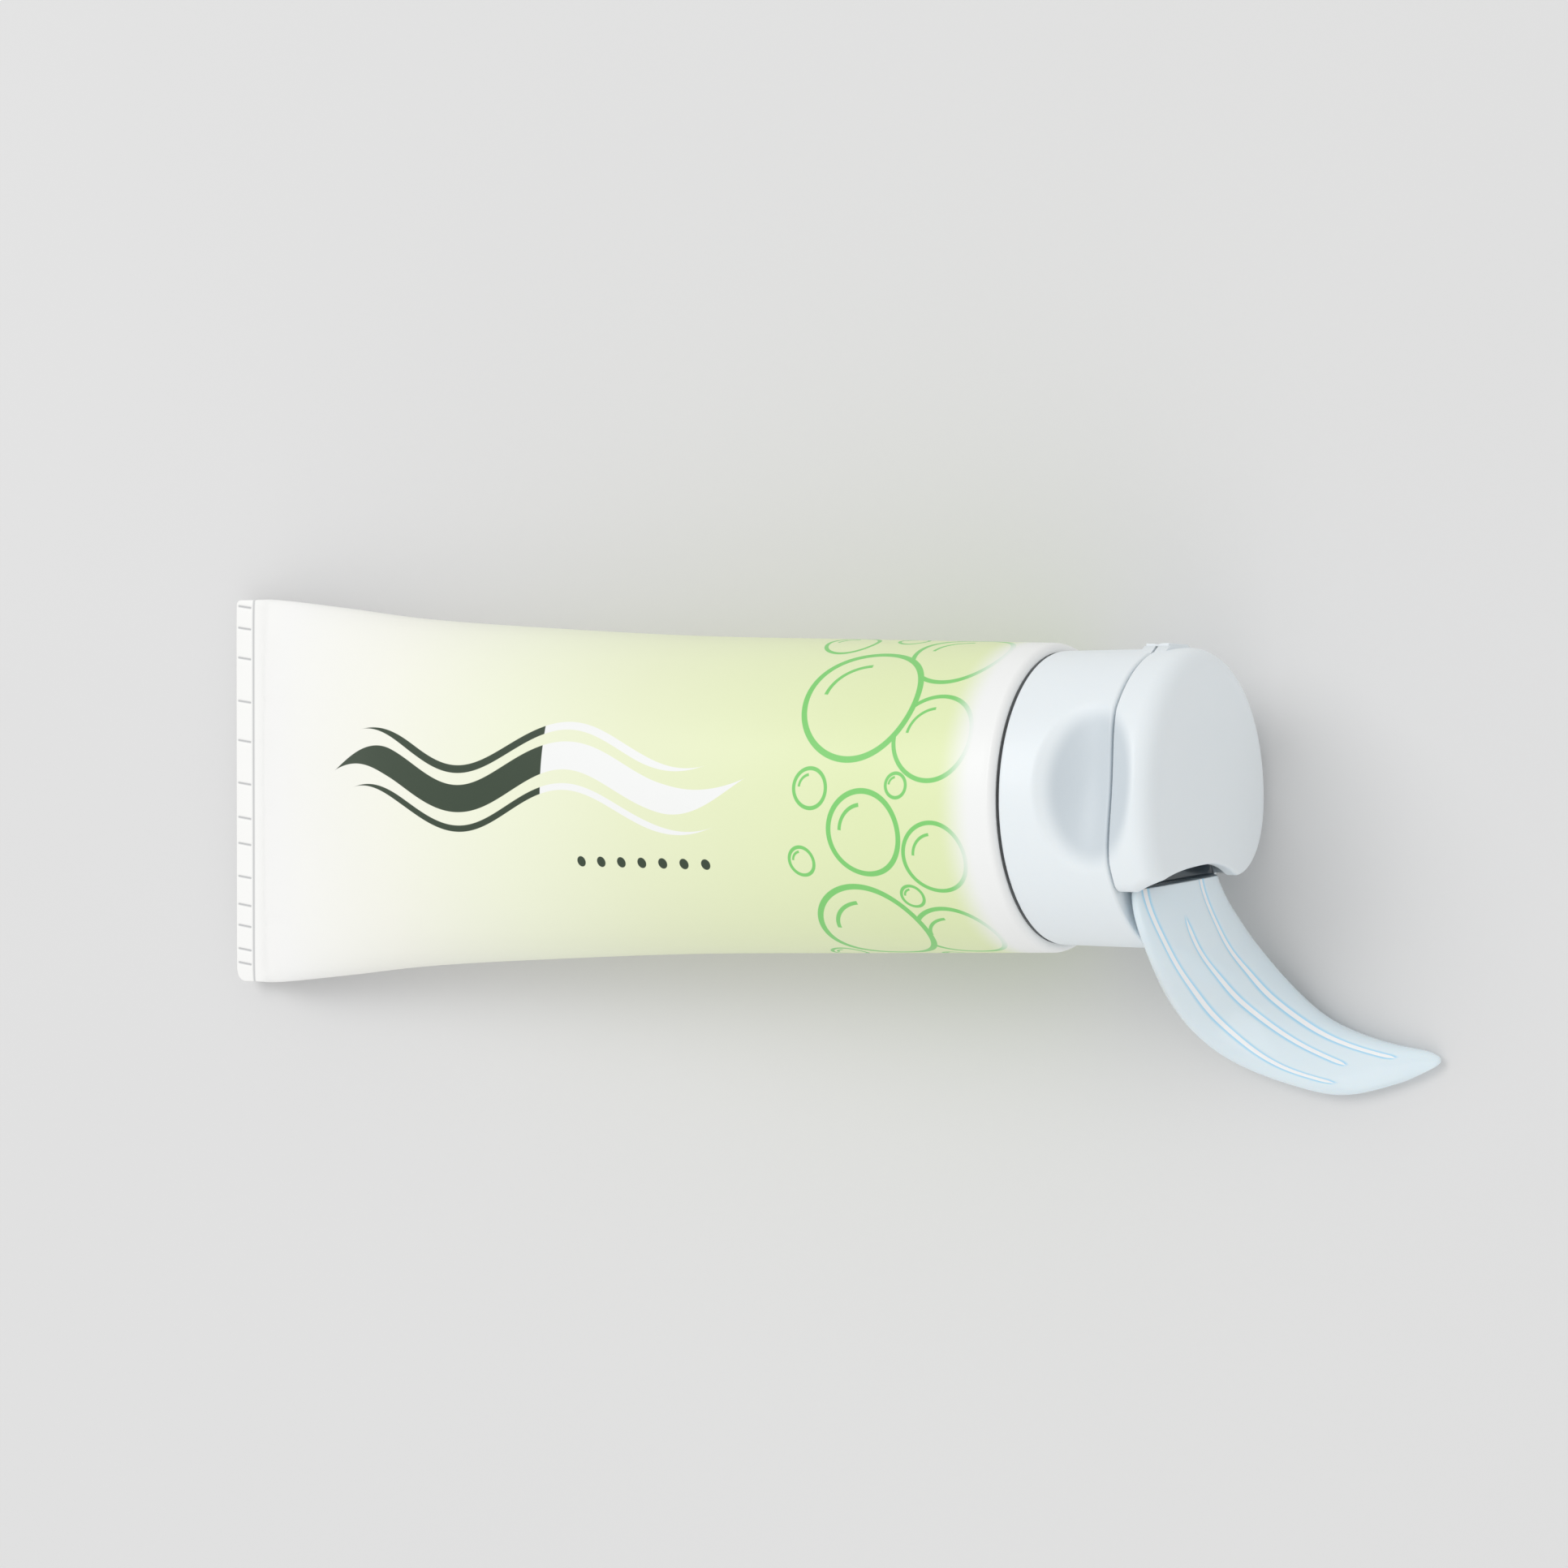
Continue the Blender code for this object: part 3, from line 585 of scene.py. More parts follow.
def crimp_relief(x, s):
    """Ribs pressed across the crimp band, and the line along its inner edge."""
    run_in = smoothstep((x - TAIL_X - RIB_START) / RIB_BLEND)
    run_out = smoothstep((CRIMP_END - RIB_END - x) / RIB_BLEND)
    across = np.where(np.abs(s) > GIRTH / 4, np.sign(s) * GIRTH / 2 - s, s)
    straight = across + RIB_SLANT * (x - TAIL_X - CRIMP_LENGTH / 2)
    to_rib = np.min([np.abs(straight - place) for place in RIB_PLACES], axis=0)
    rib = np.exp(-((to_rib / RIB_HALF_WIDTH) ** 2))
    line = np.exp(-(((x - CRIMP_END) / CRIMP_LINE_HALF_WIDTH) ** 2))
    return -RIB_DEPTH * rib * run_in * run_out - CRIMP_LINE_DEPTH * line


def crease_relief(x, s):
    """Creases that widen as they run out of the crimp, and fade as the tube rounds."""
    relief = np.zeros_like(x)
    for crease_s, tilt, start, length, half_width, depth in CREASES:
        run = x - CRIMP_END - start
        share = run / length
        reach = half_width * (CREASE_NARROW + CREASE_WIDENING * share.clip(0, 1))
        across = (s - crease_s - tilt * run) / reach
        present = smoothstep(share / CREASE_RUN_IN) * smoothstep((1 - share) / CREASE_RUN_OUT)
        relief -= depth * present * np.exp(-across ** 2)
    return relief


def dent_relief(x, s):
    """Shallow dents where the tube was pressed."""
    relief = np.zeros_like(x)
    for dent_x, dent_s, length, width, depth in DENTS:
        relief -= depth * np.exp(-((x - dent_x) / length) ** 2 - ((s - dent_s) / width) ** 2)
    return relief


def seam_relief(x, s):
    """The step of the sheet's lap seam, from the crimp to the lip."""
    step = smoothstep((SEAM_HALF_WIDTH - np.abs(s - SEAM_S)) / SEAM_BLEND)
    past_crimp = smoothstep((x - CRIMP_END) / SEAM_RUN_IN)
    before_lip = smoothstep((LIP_START_X - x) / SEAM_RUN_OUT)
    return SEAM_RISE * step * past_crimp * before_lip


def sleeve_stops():
    """Places of the rows along the outer skin, close at the crimp and ever wider after it."""
    offsets = list(CRIMP_ROWS)
    end = SLEEVE_LENGTH - LIP_RADIUS
    step = FIRST_ROW_STEP
    while offsets[-1] + step < end - LEAST_ROW_STEP:
        offsets.append(offsets[-1] + step)
        step = min(step * ROW_STEP_GROWTH, LARGEST_ROW_STEP)
    return [TAIL_X + offset for offset in offsets] + [TAIL_X + end]


def round_tail(rows):
    """Round the tail's two corners in plan by drawing their points towards the cap."""
    share = (1 - (rows[:, :, 0] - TAIL_X) / CRIMP_LENGTH).clip(0, 1)
    for side, radius in ((-1, TAIL_CORNER_NEAR), (1, TAIL_CORNER_FAR)):
        past = (side * rows[:, :, 1] - (SLEEVE_HIGH[1] - radius)).clip(0, radius * TAIL_CORNER_SHARE)
        rows[:, :, 0] += (radius - np.sqrt(radius ** 2 - past ** 2)) * share
    return rows


def outer_skin():
    """Rows of the printed skin, and how far the crimp is pressed in at each of their points."""
    stops = sleeve_stops()
    insets = list(TAIL_EDGE_INSETS) + [0.0] * (len(stops) - len(TAIL_EDGE_INSETS))
    rows = np.stack([sleeve_row(x, inset) for x, inset in zip(stops, insets)])
    x = rows[:, :, 0]
    s = np.broadcast_to(COLUMNS, x.shape)
    pressed = crimp_relief(x, s)
    relief = pressed + crease_relief(x, s) + dent_relief(x, s) + seam_relief(x, s)
    rows = rows + surface_normals(rows) * relief[:, :, None]
    rows[:, :, 2] = np.maximum(rows[:, :, 2], 0.0)
    return round_tail(rows), pressed


def rolled_rows(inset, turns):
    """Circles over the lip's rounded edge at some angles, or an inset inside it."""
    radius = LIP_RADIUS - inset
    middle = TUBE_RADIUS - LIP_RADIUS
    places = [(LIP_START_X + radius * math.sin(a), middle + radius * math.cos(a)) for a in turns]
    return [circle_row(x, reach) for x, reach in places]


def make_sleeve():
    """Printed skin with its crimp, the lip over the shoulder, and the inner skin."""
    outer, pressed = outer_skin()
    lip = rolled_rows(0.0, quarter_turn(8)[1:])
    lip.append(circle_row(SHOULDER_X, LIP_INNER_RADIUS + LIP_CHAMFER))
    lip.append(circle_row(SHOULDER_X - LIP_CHAMFER, LIP_INNER_RADIUS))
    lip.append(circle_row(SHOULDER_X - SLEEVE_WALL, LIP_INNER_RADIUS))
    lip += rolled_rows(SLEEVE_WALL, quarter_turn(4)[::-1])
    inside = np.linspace(CAVITY_START, LIP_START_X, 24)[-2::-1]
    rows = np.concatenate([outer, lip, [sleeve_row(x, INNER_SKIN_INSET) for x in inside]])
    sleeve = loft("tube_skin", rows)
    places = np.stack([rows[:, :, 0], np.broadcast_to(COLUMNS, rows.shape[:2])], 2).reshape(-1, 2)
    # the crimp's depth at each point, kept to paint shade into its grooves
    mark = np.zeros(len(places))
    mark[:pressed.size] = (-pressed.ravel() / RIB_DEPTH).clip(0, 1)
    add_values(sleeve, "pressed", mark)
    map_print(sleeve, places)
    return sleeve


def map_print(piece, places):
    """A UV map in millimetres: along the tube, and round it from the top line."""
    mesh = piece.data
    values = places[read_all(mesh.loops, "vertex_index")]
    starts = read_all(mesh.polygons, "loop_start")
    counts = read_all(mesh.polygons, "loop_total")
    highest = np.maximum.reduceat(values[:, 1], starts)
    lowest = np.minimum.reduceat(values[:, 1], starts)
    wraps = (highest - lowest > GIRTH / 2) & (counts == 4)
    across_seam = np.repeat(wraps, counts) & (values[:, 1] > 0)
    values[across_seam, 1] -= GIRTH
    layer = mesh.uv_layers.new(name="print_place")
    layer.uv.foreach_set("vector", values.astype(np.float32).ravel())


# ---- cap

def around_recess(points):
    """Distance of each point round the cap from the middle of the thumb recess."""
    turn = np.arctan2(points[..., 2] - AXIS_Z, points[..., 1])
    return CAP_RADIUS * (turn - (math.pi / 2 - RECESS_TURN))


def recess_share(points):
    """How deep the thumb recess is at each point, as a share of its full depth."""
    along = (points[..., 0] - RECESS_X) / RECESS_HALF_LENGTH
    reach = along ** 2 + (around_recess(points) / RECESS_HALF_WIDTH) ** 2
    return (1 - reach).clip(0, 1) ** RECESS_POWER


def sink_recess(points):
    """Move points towards the axis by the recess's depth, and less the nearer they are to it."""
    offset = points[..., 1:] - np.array([0.0, AXIS_Z])
    radius = np.linalg.norm(offset, axis=-1, keepdims=True)
    outer_share = ((radius - RECESS_CORE) / (CAP_RADIUS - CAP_WALL - RECESS_CORE)).clip(0, 1)
    depth = RECESS_DEPTH * recess_share(points)[..., None] * outer_share
    sunk = points.copy()
    sunk[..., 1:] = np.array([0.0, AXIS_Z]) + offset * (radius - depth) / np.maximum(radius, 1e-9)
    return sunk


def arc(centre, radius, start, end, steps):
    """Points along an arc between two angles."""
    turns = np.linspace(start, end, steps + 1)
    return [(centre[0] + radius * math.cos(a), centre[1] + radius * math.sin(a)) for a in turns]


def outline_row(outline, x):
    """Place (y, z from the axis) points across the tube's axis at x."""
    return np.array([(x, y, AXIS_Z + z) for y, z in outline])


def mirrored(half):
    """A closed outline from its half above the axis."""
    return [(y, -z) for y, z in half] + half[::-1]


def prism(name, outline, start_x, end_x):
    """A straight body along the tube over an outline."""
    return loft(name, [outline_row(outline, x) for x in (start_x, end_x)])


def spun(name, profile):
    """Spin a closed (radius, x) profile about the tube's axis, with the recess sunk in it."""
    turn = np.linspace(0.0, 2 * math.pi, CAP_SIDES, endpoint=False)
    rows = []
    for radius, x in profile:
        row = np.stack([
            np.full_like(turn, x), radius * np.cos(turn), AXIS_Z + radius * np.sin(turn),
        ], 1)
        rows.append(sink_recess(row))
    return loft(name, rows, capped=False)


def hinge_web(start_x):
    """The small block that carries one side of the hinge film, with sloping sides."""
    half = [(CAP_RADIUS - CAP_WALL, WEB_HALF_WIDTH), (CAP_RADIUS - WEB_FOOT_DEPTH, WEB_HALF_WIDTH)]
    half.append((WEB_FACE_Y, WEB_FACE_HALF_WIDTH))
    return prism("hinge_web", mirrored(half), start_x, start_x + WEB_LENGTH)


def make_cap_base():
    """Skirt, deck, orifice, spout tube and collar, with its half of the recess and hinge."""
    under = DECK_X - DECK_THICKNESS
    inner = CAP_RADIUS - CAP_WALL
    collar = COLLAR_RADIUS + COLLAR_WALL
    edge = CAP_RADIUS - EDGE_ROUND
    skirt_ends = (DECK_X - EDGE_ROUND, BASE_START_X + EDGE_ROUND)
    quarter = math.pi / 2
    profile = [(ORIFICE_RADIUS, DECK_X - ORIFICE_CHAMFER), (ORIFICE_RADIUS + ORIFICE_CHAMFER, DECK_X)]
    profile += [(radius, DECK_X) for radius in DECK_RINGS]
    profile += arc((edge, skirt_ends[0]), EDGE_ROUND, quarter, 0.0, 6)
    profile += [(CAP_RADIUS, x) for x in np.linspace(*skirt_ends, 46)[1:-1]]
    profile += arc((edge, skirt_ends[1]), EDGE_ROUND, 0.0, -quarter, 6)
    profile += [(inner, x) for x in np.linspace(BASE_START_X, under, 24)]
    profile += [(radius, under) for radius in (*UNDERSIDE_RINGS, collar)]
    profile += [(collar, COLLAR_START_X), (COLLAR_RADIUS, COLLAR_START_X), (COLLAR_RADIUS, under)]
    profile += [(SPOUT_RADIUS, under), (SPOUT_RADIUS, SPOUT_START_X), (ORIFICE_RADIUS, SPOUT_START_X)]
    base = spun("cap_base_skin", profile)
    boolean(base, hinge_web(DECK_X - WEB_LENGTH), "UNION")
    finish_mesh(base)
    # store where shade is painted over the recess
    mark_painted_recess_shade(base)
    return base


def mark_painted_recess_shade(piece):
    """Store the oval of painted shade over the recess, on the outer wall only."""
    points = positions(piece)
    along = (points[:, 0] - SHADE_OVAL_X) / SHADE_OVAL_HALF_LENGTH
    reach = np.hypot(along, around_recess(points) / SHADE_OVAL_HALF_WIDTH)
    radius = np.hypot(points[:, 1], points[:, 2] - AXIS_Z)
    outside = radius > CAP_RADIUS - RECESS_DEPTH * recess_share(points) - SHADE_OVAL_SKIN
    add_values(piece, "recess_shade_share", smoothstep((SHADE_OVAL_EDGE - reach) / SHADE_OVAL_BLEND) * outside)


def corner(radius, corner_radius, chord_y, side):
    """Centre of a rounded corner between the chord and the cap's circle, and its direction."""
    centre_y = chord_y + corner_radius
    centre_z = side * math.sqrt((radius - corner_radius) ** 2 - centre_y ** 2)
    return (centre_y, centre_z), math.atan2(centre_z, centre_y)


def arch_rise(x, z):
    """How far the lid's lower edge rises at x and at z from the axis."""
    front = (z - ARCH_PEAK_Z + ARCH_SLANT * (LID_END_X - x)) / ARCH_FRONT_REACH
    back = (ARCH_PEAK_Z - z) / ARCH_BACK_REACH
    return ARCH_RISE * max(0.0, 1 - max(front, back, 0.0) ** ARCH_FULLNESS)


def lid_row(x, inset=0.0, edge=0.0, chord_edge=0.0):
    """The lid's D outline at x, arched along its chord, drawn in by an inset and rounded edges."""
    radius = CAP_RADIUS - inset - edge
    chord_y = LID_CHORD_Y + inset + chord_edge
    front = max(LID_FRONT_CORNER - inset - edge, LID_LEAST_CORNER)
    back = max(LID_BACK_CORNER - inset - edge, LID_LEAST_CORNER)
    unraised, _ = corner(radius, front, chord_y, 1)
    raised = chord_y + arch_rise(x, unraised[1])
    front_centre, front_turn = corner(radius, front, raised, 1)
    back_centre, back_turn = corner(radius, back, chord_y, -1)
    points = arc(back_centre, back, -math.pi, back_turn, 16)
    points += arc((0.0, 0.0), radius, back_turn, front_turn, 120)[1:-1]
    points += arc(front_centre, front, front_turn, math.pi, 12)
    for z in np.linspace(front_centre[1], back_centre[1], 37)[1:-1]:
        points.append((chord_y + arch_rise(x, z), z))
    cos_turn = math.cos(LID_TURN)
    sin_turn = math.sin(LID_TURN)
    turned = [(y * cos_turn - z * sin_turn, z * cos_turn + y * sin_turn) for y, z in points]
    return outline_row(turned, x)


def guide_outline():
    """The horseshoe wall round the orifice, with rounded ends."""
    middle = GUIDE_RADIUS + GUIDE_WALL / 2
    end_y = GUIDE_LEG_Y + GUIDE_WALL / 2
    half = math.pi / 2
    points = arc((0.0, 0.0), GUIDE_RADIUS + GUIDE_WALL, -half, half, 48)
    points += arc((end_y, middle), GUIDE_WALL / 2, half, 3 * half, 8)
    points += arc((0.0, 0.0), GUIDE_RADIUS, half, -half, 48)
    points += arc((end_y, -middle), GUIDE_WALL / 2, half, 3 * half, 8)
    return points


def lid_hood():
    """Rows of the lid's outside, from its foot to the arched edge of its end plate."""
    rows = []
    for turn in quarter_turn(4):
        x = LID_START_X + LID_FOOT_ROUND * (1 - math.cos(turn))
        rows.append(lid_row(x, edge=LID_FOOT_ROUND * (1 - math.sin(turn))))
    for x in np.linspace(LID_START_X + LID_FOOT_ROUND, LID_END_X - LID_EDGE_ROUND, 12)[1:-1]:
        rows.append(lid_row(x))
    for turn in quarter_turn(16):
        x = LID_END_X - LID_EDGE_ROUND * (1 - math.sin(turn))
        past = max(0.0, (x - (LID_END_X - LID_PLATE_ROUND)) / LID_PLATE_ROUND)
        chord_edge = LID_PLATE_ROUND * (1 - math.sqrt(max(0.0, 1 - past ** 2)))
        rows.append(lid_row(x, edge=LID_EDGE_ROUND * (1 - math.cos(turn)), chord_edge=chord_edge))
    return rows


def lid_hollow():
    """Rows of the space inside the lid, from past its foot to its ceiling."""
    ends = (LID_START_X - CUT_PAST, LID_CEILING_X - LID_CEILING_FILLET)
    rows = [lid_row(x, CAP_WALL) for x in np.linspace(*ends, 14)]
    for turn in quarter_turn(6)[1:]:
        x = LID_CEILING_X - LID_CEILING_FILLET * (1 - math.sin(turn))
        rows.append(lid_row(x, CAP_WALL, LID_CEILING_FILLET * (1 - math.cos(turn))))
    return rows


def make_cap_lid():
    """Hood with an open mouth under its arched end plate, hollow, with the guide inside."""
    lid = loft("cap_lid_skin", sink_recess(np.stack(lid_hood())))
    boolean(lid, loft("lid_hollow", sink_recess(np.stack(lid_hollow()))), "DIFFERENCE")
    mouth = [(-CAP_RADIUS, MOUTH_BACK), (MOUTH_DEPTH_Y, MOUTH_BACK)]
    mouth += [(MOUTH_DEPTH_Y, MOUTH_FRONT), (-CAP_RADIUS, MOUTH_FRONT)]
    boolean(lid, prism("lid_mouth", mouth, LID_START_X - CUT_PAST, LID_CEILING_X), "DIFFERENCE")
    guide = prism("lid_guide", guide_outline(), GUIDE_START_X, LID_CEILING_X + GUIDE_SEATED)
    boolean(lid, guide, "UNION")
    boolean(lid, hinge_web(LID_START_X), "UNION")
    finish_mesh(lid)
    # store where shade is painted over the recess
    mark_painted_recess_shade(lid)
    # store where shade is painted inside the mouth
    mark_painted_mouth_shade(lid)
    return lid


def mark_painted_mouth_shade(piece):
    """Store where shade is painted inside the lid's mouth: on the inner side of the wall there."""
    points = positions(piece)
    z = points[:, 2] - AXIS_Z
    from_chord = points[:, 1] * math.cos(LID_TURN) + z * math.sin(LID_TURN) - LID_CHORD_Y
    in_wall = smoothstep((from_chord - MOUTH_SHADE_START) / MOUTH_SHADE_RUN_IN) * (points[:, 0] < MOUTH_SHADE_END_X)
    by_mouth = smoothstep((MOUTH_SHADE_REACH - from_chord) / MOUTH_SHADE_BLEND)
    for past_end in (z - MOUTH_FRONT, MOUTH_BACK - z):
        by_mouth = by_mouth * smoothstep(MOUTH_SHADE_PAST_MOUTH - past_end)
    # painted shade on the lid's inner wall by the mouth
    add_values(piece, "lid_mouth_shade", in_wall * by_mouth)


def make_hinge_film():
    """The thin film that joins base and lid, thinnest over the seam."""
    back = WEB_FACE_Y - FILM_SEATED
    rows = []
    for x in np.linspace(DECK_X - FILM_REACH, LID_START_X + FILM_REACH, 33):
        thin = math.exp(-(((x - HINGE[0]) / FILM_THIN_REACH) ** 2))
        face = WEB_FACE_Y + FILM_THICKNESS * (1 - FILM_THINNING * thin)
        half = [(back, FILM_HALF_WIDTH), (face - FILM_EDGE, FILM_HALF_WIDTH)]
        half.append((face, FILM_HALF_WIDTH - FILM_EDGE))
        rows.append(outline_row(mirrored(half), x))
    return loft("hinge_film", rows)


# ---- paste

def ribbon_stops(length):
    """Distances of the ribbon's rows, closest where it passes the mouth's edge and at its tip."""
    spans = [np.arange(*span) for span in RIBBON_ROWS]
    spans.append(np.arange(RIBBON_ROWS[-1][1], length - TIP_ROWS_LENGTH, RIBBON_ROW_STEP))
    spans.append(length - TIP_ROWS_LENGTH * (1 - np.sin(quarter_turn(11))))
    return np.concatenate(spans)


def sunk_share(points):
    """How far each point of the ribbon is sunk behind the mouth's edge, as a share of the whole."""
    past_lip = points[..., 1] - MOUTH_LIP_Y - MOUTH_LIP_SLOPE * (points[..., 2] - AXIS_Z)
    run_in = smoothstep((SUNK_START_Y - points[..., 1]) / SUNK_RUN_IN)
    return run_in * smoothstep(past_lip / SUNK_RUN_OUT)


def ribbon_course():
    """Middle, span from edge to edge, outward direction and thickness at each of the ribbon's rows,
    and the rows' distances along it."""
    upper, lower, thick = (np.array(values) for values in zip(*RIBBON_STATIONS))
    middle = (upper + lower) / 2
    knots = np.concatenate([[0.0], np.cumsum(np.linalg.norm(np.diff(middle, axis=0), axis=1))])
    length = knots[-1]
    at = ribbon_stops(length)
    course = Curve(knots, middle)
    span = Curve(knots, upper - lower).at(at)
    into_tip = ((at - length + TIP_RUN) / TIP_RUN).clip(0, 1)
    trimmed = TIP_ROUND * (1 - np.sqrt(1 - into_tip ** 2)) / np.linalg.norm(span, axis=1)
    cut = trimmed[:, None] * span
    span = span - cut
    ahead = course.at(at + COURSE_REACH) - course.at(at - COURSE_REACH)
    outward = np.cross(ahead, span)
    outward /= np.linalg.norm(outward, axis=1, keepdims=True)
    return course.at(at) + cut / 2, span, outward, Curve(knots, thick).at(at)[:, None], at


def ribbon_rows():
    """Rows of the ribbon and what its material reads at each of their points, as (name, values,
    value elsewhere): distance to each stripe, the stripe's reach, and painted shade inside the mouth."""
    middle, span, outward, thick, at = ribbon_course()
    turn = np.linspace(0.0, 2 * math.pi, RIBBON_SIDES, endpoint=False)
    across, through = rounded(turn, RIBBON_FULLNESS)
    half_width = np.linalg.norm(span, axis=1)[:, None] / 2
    flat = middle[:, None] + span[:, None] * (across / 2)[:, None]
    in_mouth = sunk_share(flat)
    distances, reaches = [], []
    half = thick / 2
    for start, end, places in STRIPES:
        begun = smoothstep((at - start) / STRIPE_START_TAPER)
        unfinished = smoothstep((end - at) / STRIPE_END_TAPER)
        present = (begun * unfinished)[:, None] * (1 - in_mouth)
        centre = Curve(np.linspace(start, end, len(places)), places).at(at)
        offset = (across - centre[:, None]) * half_width
        distances.append(offset)
        reaches.append(STRIPE_HALF_WIDTH * present)
        half = half - STRIPE_GROOVE * present * np.exp(-((offset / STRIPE_GROOVE_REACH) ** 2))
    near = through < 0
    rise = half * through * (1 - np.where(near, MOUTH_SUNK * in_mouth, 0.0))
    rows = flat + outward[:, None] * rise[:, :, None]
    rows[:, :, 2] = np.maximum(rows[:, :, 2], FLOOR_CLEARANCE)
    return rows, (
        ("stripe_distance", np.stack(distances, 2), FAR_FROM_STRIPES),
        ("stripe_reach", np.stack(reaches, 2), 0.0),
        # painted shade on the paste's near face inside the mouth
        ("paste_mouth_shade", np.where(near, in_mouth, 0.0), 0.0),
    )


def round_end(edge, inner, reach):
    """Rows past the edge row, on the side away from the inner one, that round the ribbon's end."""
    centre = edge.mean(0)
    outward = centre - inner.mean(0)
    outward /= np.linalg.norm(outward)
    closing = []
    for turn in quarter_turn(6)[1:]:
        shrunk = (edge - centre) * max(math.cos(turn), LEAST_END_SHARE)
        row = centre + shrunk + outward * reach * math.sin(turn)
        row[:, 2] = np.maximum(row[:, 2], FLOOR_CLEARANCE)
        closing.append(row)
    return closing


def make_paste():
    """The fill in the sleeve, the strand through the neck, and the striped ribbon."""
    fill = [sleeve_row(x, FILL_INSET) for x in np.linspace(FILL_START_X, FILL_END_X, 40)]
    fill += [circle_row(x, radius) for x, radius in STRAND]
    paste = loft("paste", fill, sharp_angle=PASTE_SHARP_ANGLE)
    rows, marks = ribbon_rows()
    root = round_end(rows[0], rows[1], ROOT_ROUND)[::-1]
    tip = round_end(rows[-1], rows[-2], TIP_EDGE_ROUND)
    ribbon = loft("ribbon", np.concatenate([root, rows, tip]), sharp_angle=PASTE_SHARP_ANGLE)
    boolean(paste, ribbon, "UNION")
    finish_mesh(paste, PASTE_SHARP_ANGLE)
    points = positions(paste)
    sources = rows.reshape(-1, 3)
    tree = kd_tree(sources)
    nearest = np.array([tree.find(Vector(point))[1] for point in points])
    on_ribbon = np.linalg.norm(points - sources[nearest], axis=1) < SAME_POINT
    for name, values, elsewhere in marks:
        found = values.reshape(len(sources), -1)[nearest]
        add_values(paste, name, np.where(on_ribbon[:, None], found, elsewhere).squeeze())
    return paste


def kd_tree(points):
    """A tree that finds the nearest of the points."""
    tree = KDTree(len(points))
    for index, point in enumerate(points):
        tree.insert(Vector(point), index)
    tree.balance()
    return tree


# ---- materials

class Nodes:
    """A material's node tree with short ways to add and join nodes."""

    def __init__(self, name):
        self.material = bpy.data.materials.new(name)
        self.material.use_nodes = True
        self.tree = self.material.node_tree
        self.shader = self.tree.nodes["Principled BSDF"]

    def node(self, kind, **settings):
        """Add a node with some of its properties set."""
        made = self.tree.nodes.new(kind)
        for key, value in settings.items():
            setattr(made, key, value)
        return made

    def join(self, value, socket):
        """Set a socket to a number or colour, or link another node's socket to it."""
        if isinstance(value, bpy.types.NodeSocket):
            self.tree.links.new(value, socket)
        else:
            socket.default_value = value

    def math(self, operation, *values):
        """The result of an operation on one to three numbers."""
        made = self.node("ShaderNodeMath", operation=operation)
        for value, socket in zip(values, made.inputs):
            self.join(value, socket)
        return made.outputs[0]

    def ramp(self, value, low, high, to_low, to_high, shape="LINEAR"):
        """A ramp from to_low at low to to_high at high, level outside."""
        made = self.node("ShaderNodeMapRange", interpolation_type=shape)
        self.join(value, made.inputs["Value"])
        ends = {"From Min": low, "From Max": high, "To Min": to_low, "To Max": to_high}
        for name, end in ends.items():
            made.inputs[name].default_value = end
        return made.outputs[0]

    def fade(self, value, low, high):
        """0 below low and 1 above high, with a smooth step between; low may be the larger."""
        ends = (low, high, 0.0, 1.0) if low < high else (high, low, 1.0, 0.0)
        return self.ramp(value, *ends, "SMOOTHSTEP")

    def apart(self, first, second):
        """How far two numbers are apart."""
        return self.math("ABSOLUTE", self.math("SUBTRACT", first, second))

    def line(self, off, half_width):
        """1 where the distance off a line is under its half width, with a soft printed edge."""
        return self.fade(off, half_width + PRINT_EDGE, half_width - PRINT_EDGE)

    def length(self, across, up):
        """Length of the vector (across, up)."""
        squares = [self.math("MULTIPLY", part, part) for part in (across, up)]
        return self.math("SQRT", self.math("ADD", *squares))

    def parts(self, vector):
        """The three parts of a vector."""
        made = self.node("ShaderNodeSeparateXYZ")
        self.join(vector, made.inputs[0])
        return made.outputs

    def mix(self, factor, first, second, blend="MIX"):
        """A colour between two others, or blended from them."""
        made = self.node("ShaderNodeMix", data_type="RGBA", blend_type=blend)
        for value, socket in zip((factor, first, second), (0, 6, 7)):
            self.join(value, made.inputs[socket])
        return made.outputs[2]

    def noise(self, scale, detail=3.0, stretch=(1.0, 1.0, 1.0)):
        """Noise fixed to the object, with a scale in cycles per metre."""
        place = self.node("ShaderNodeTexCoord")
        mapping = self.node("ShaderNodeMapping")
        mapping.inputs["Scale"].default_value = stretch
        made = self.node("ShaderNodeTexNoise")
        made.inputs["Scale"].default_value = scale
        made.inputs["Detail"].default_value = detail
        self.join(place.outputs["Object"], mapping.inputs["Vector"])
        self.join(mapping.outputs[0], made.inputs["Vector"])
        return made.outputs["Fac"]

    def attribute(self, name, output="Fac"):
        """What the mesh stores under a name."""
        return self.node("ShaderNodeAttribute", attribute_name=name).outputs[output]

    def bump(self, height, strength, distance, normal=None):
        """A normal roughened by a height, on top of another bump's normal if there is one."""
        made = self.node("ShaderNodeBump")
        made.inputs["Strength"].default_value = strength
        made.inputs["Distance"].default_value = distance
        self.join(height, made.inputs["Height"])
        if normal is not None:
            self.join(normal, made.inputs["Normal"])
        return made.outputs[0]

    def set(self, **values):
        """Set the shader's sockets by name, with underscores for spaces."""
        for key, value in values.items():
            self.join(value, self.shader.inputs[key.replace("_", " ")])


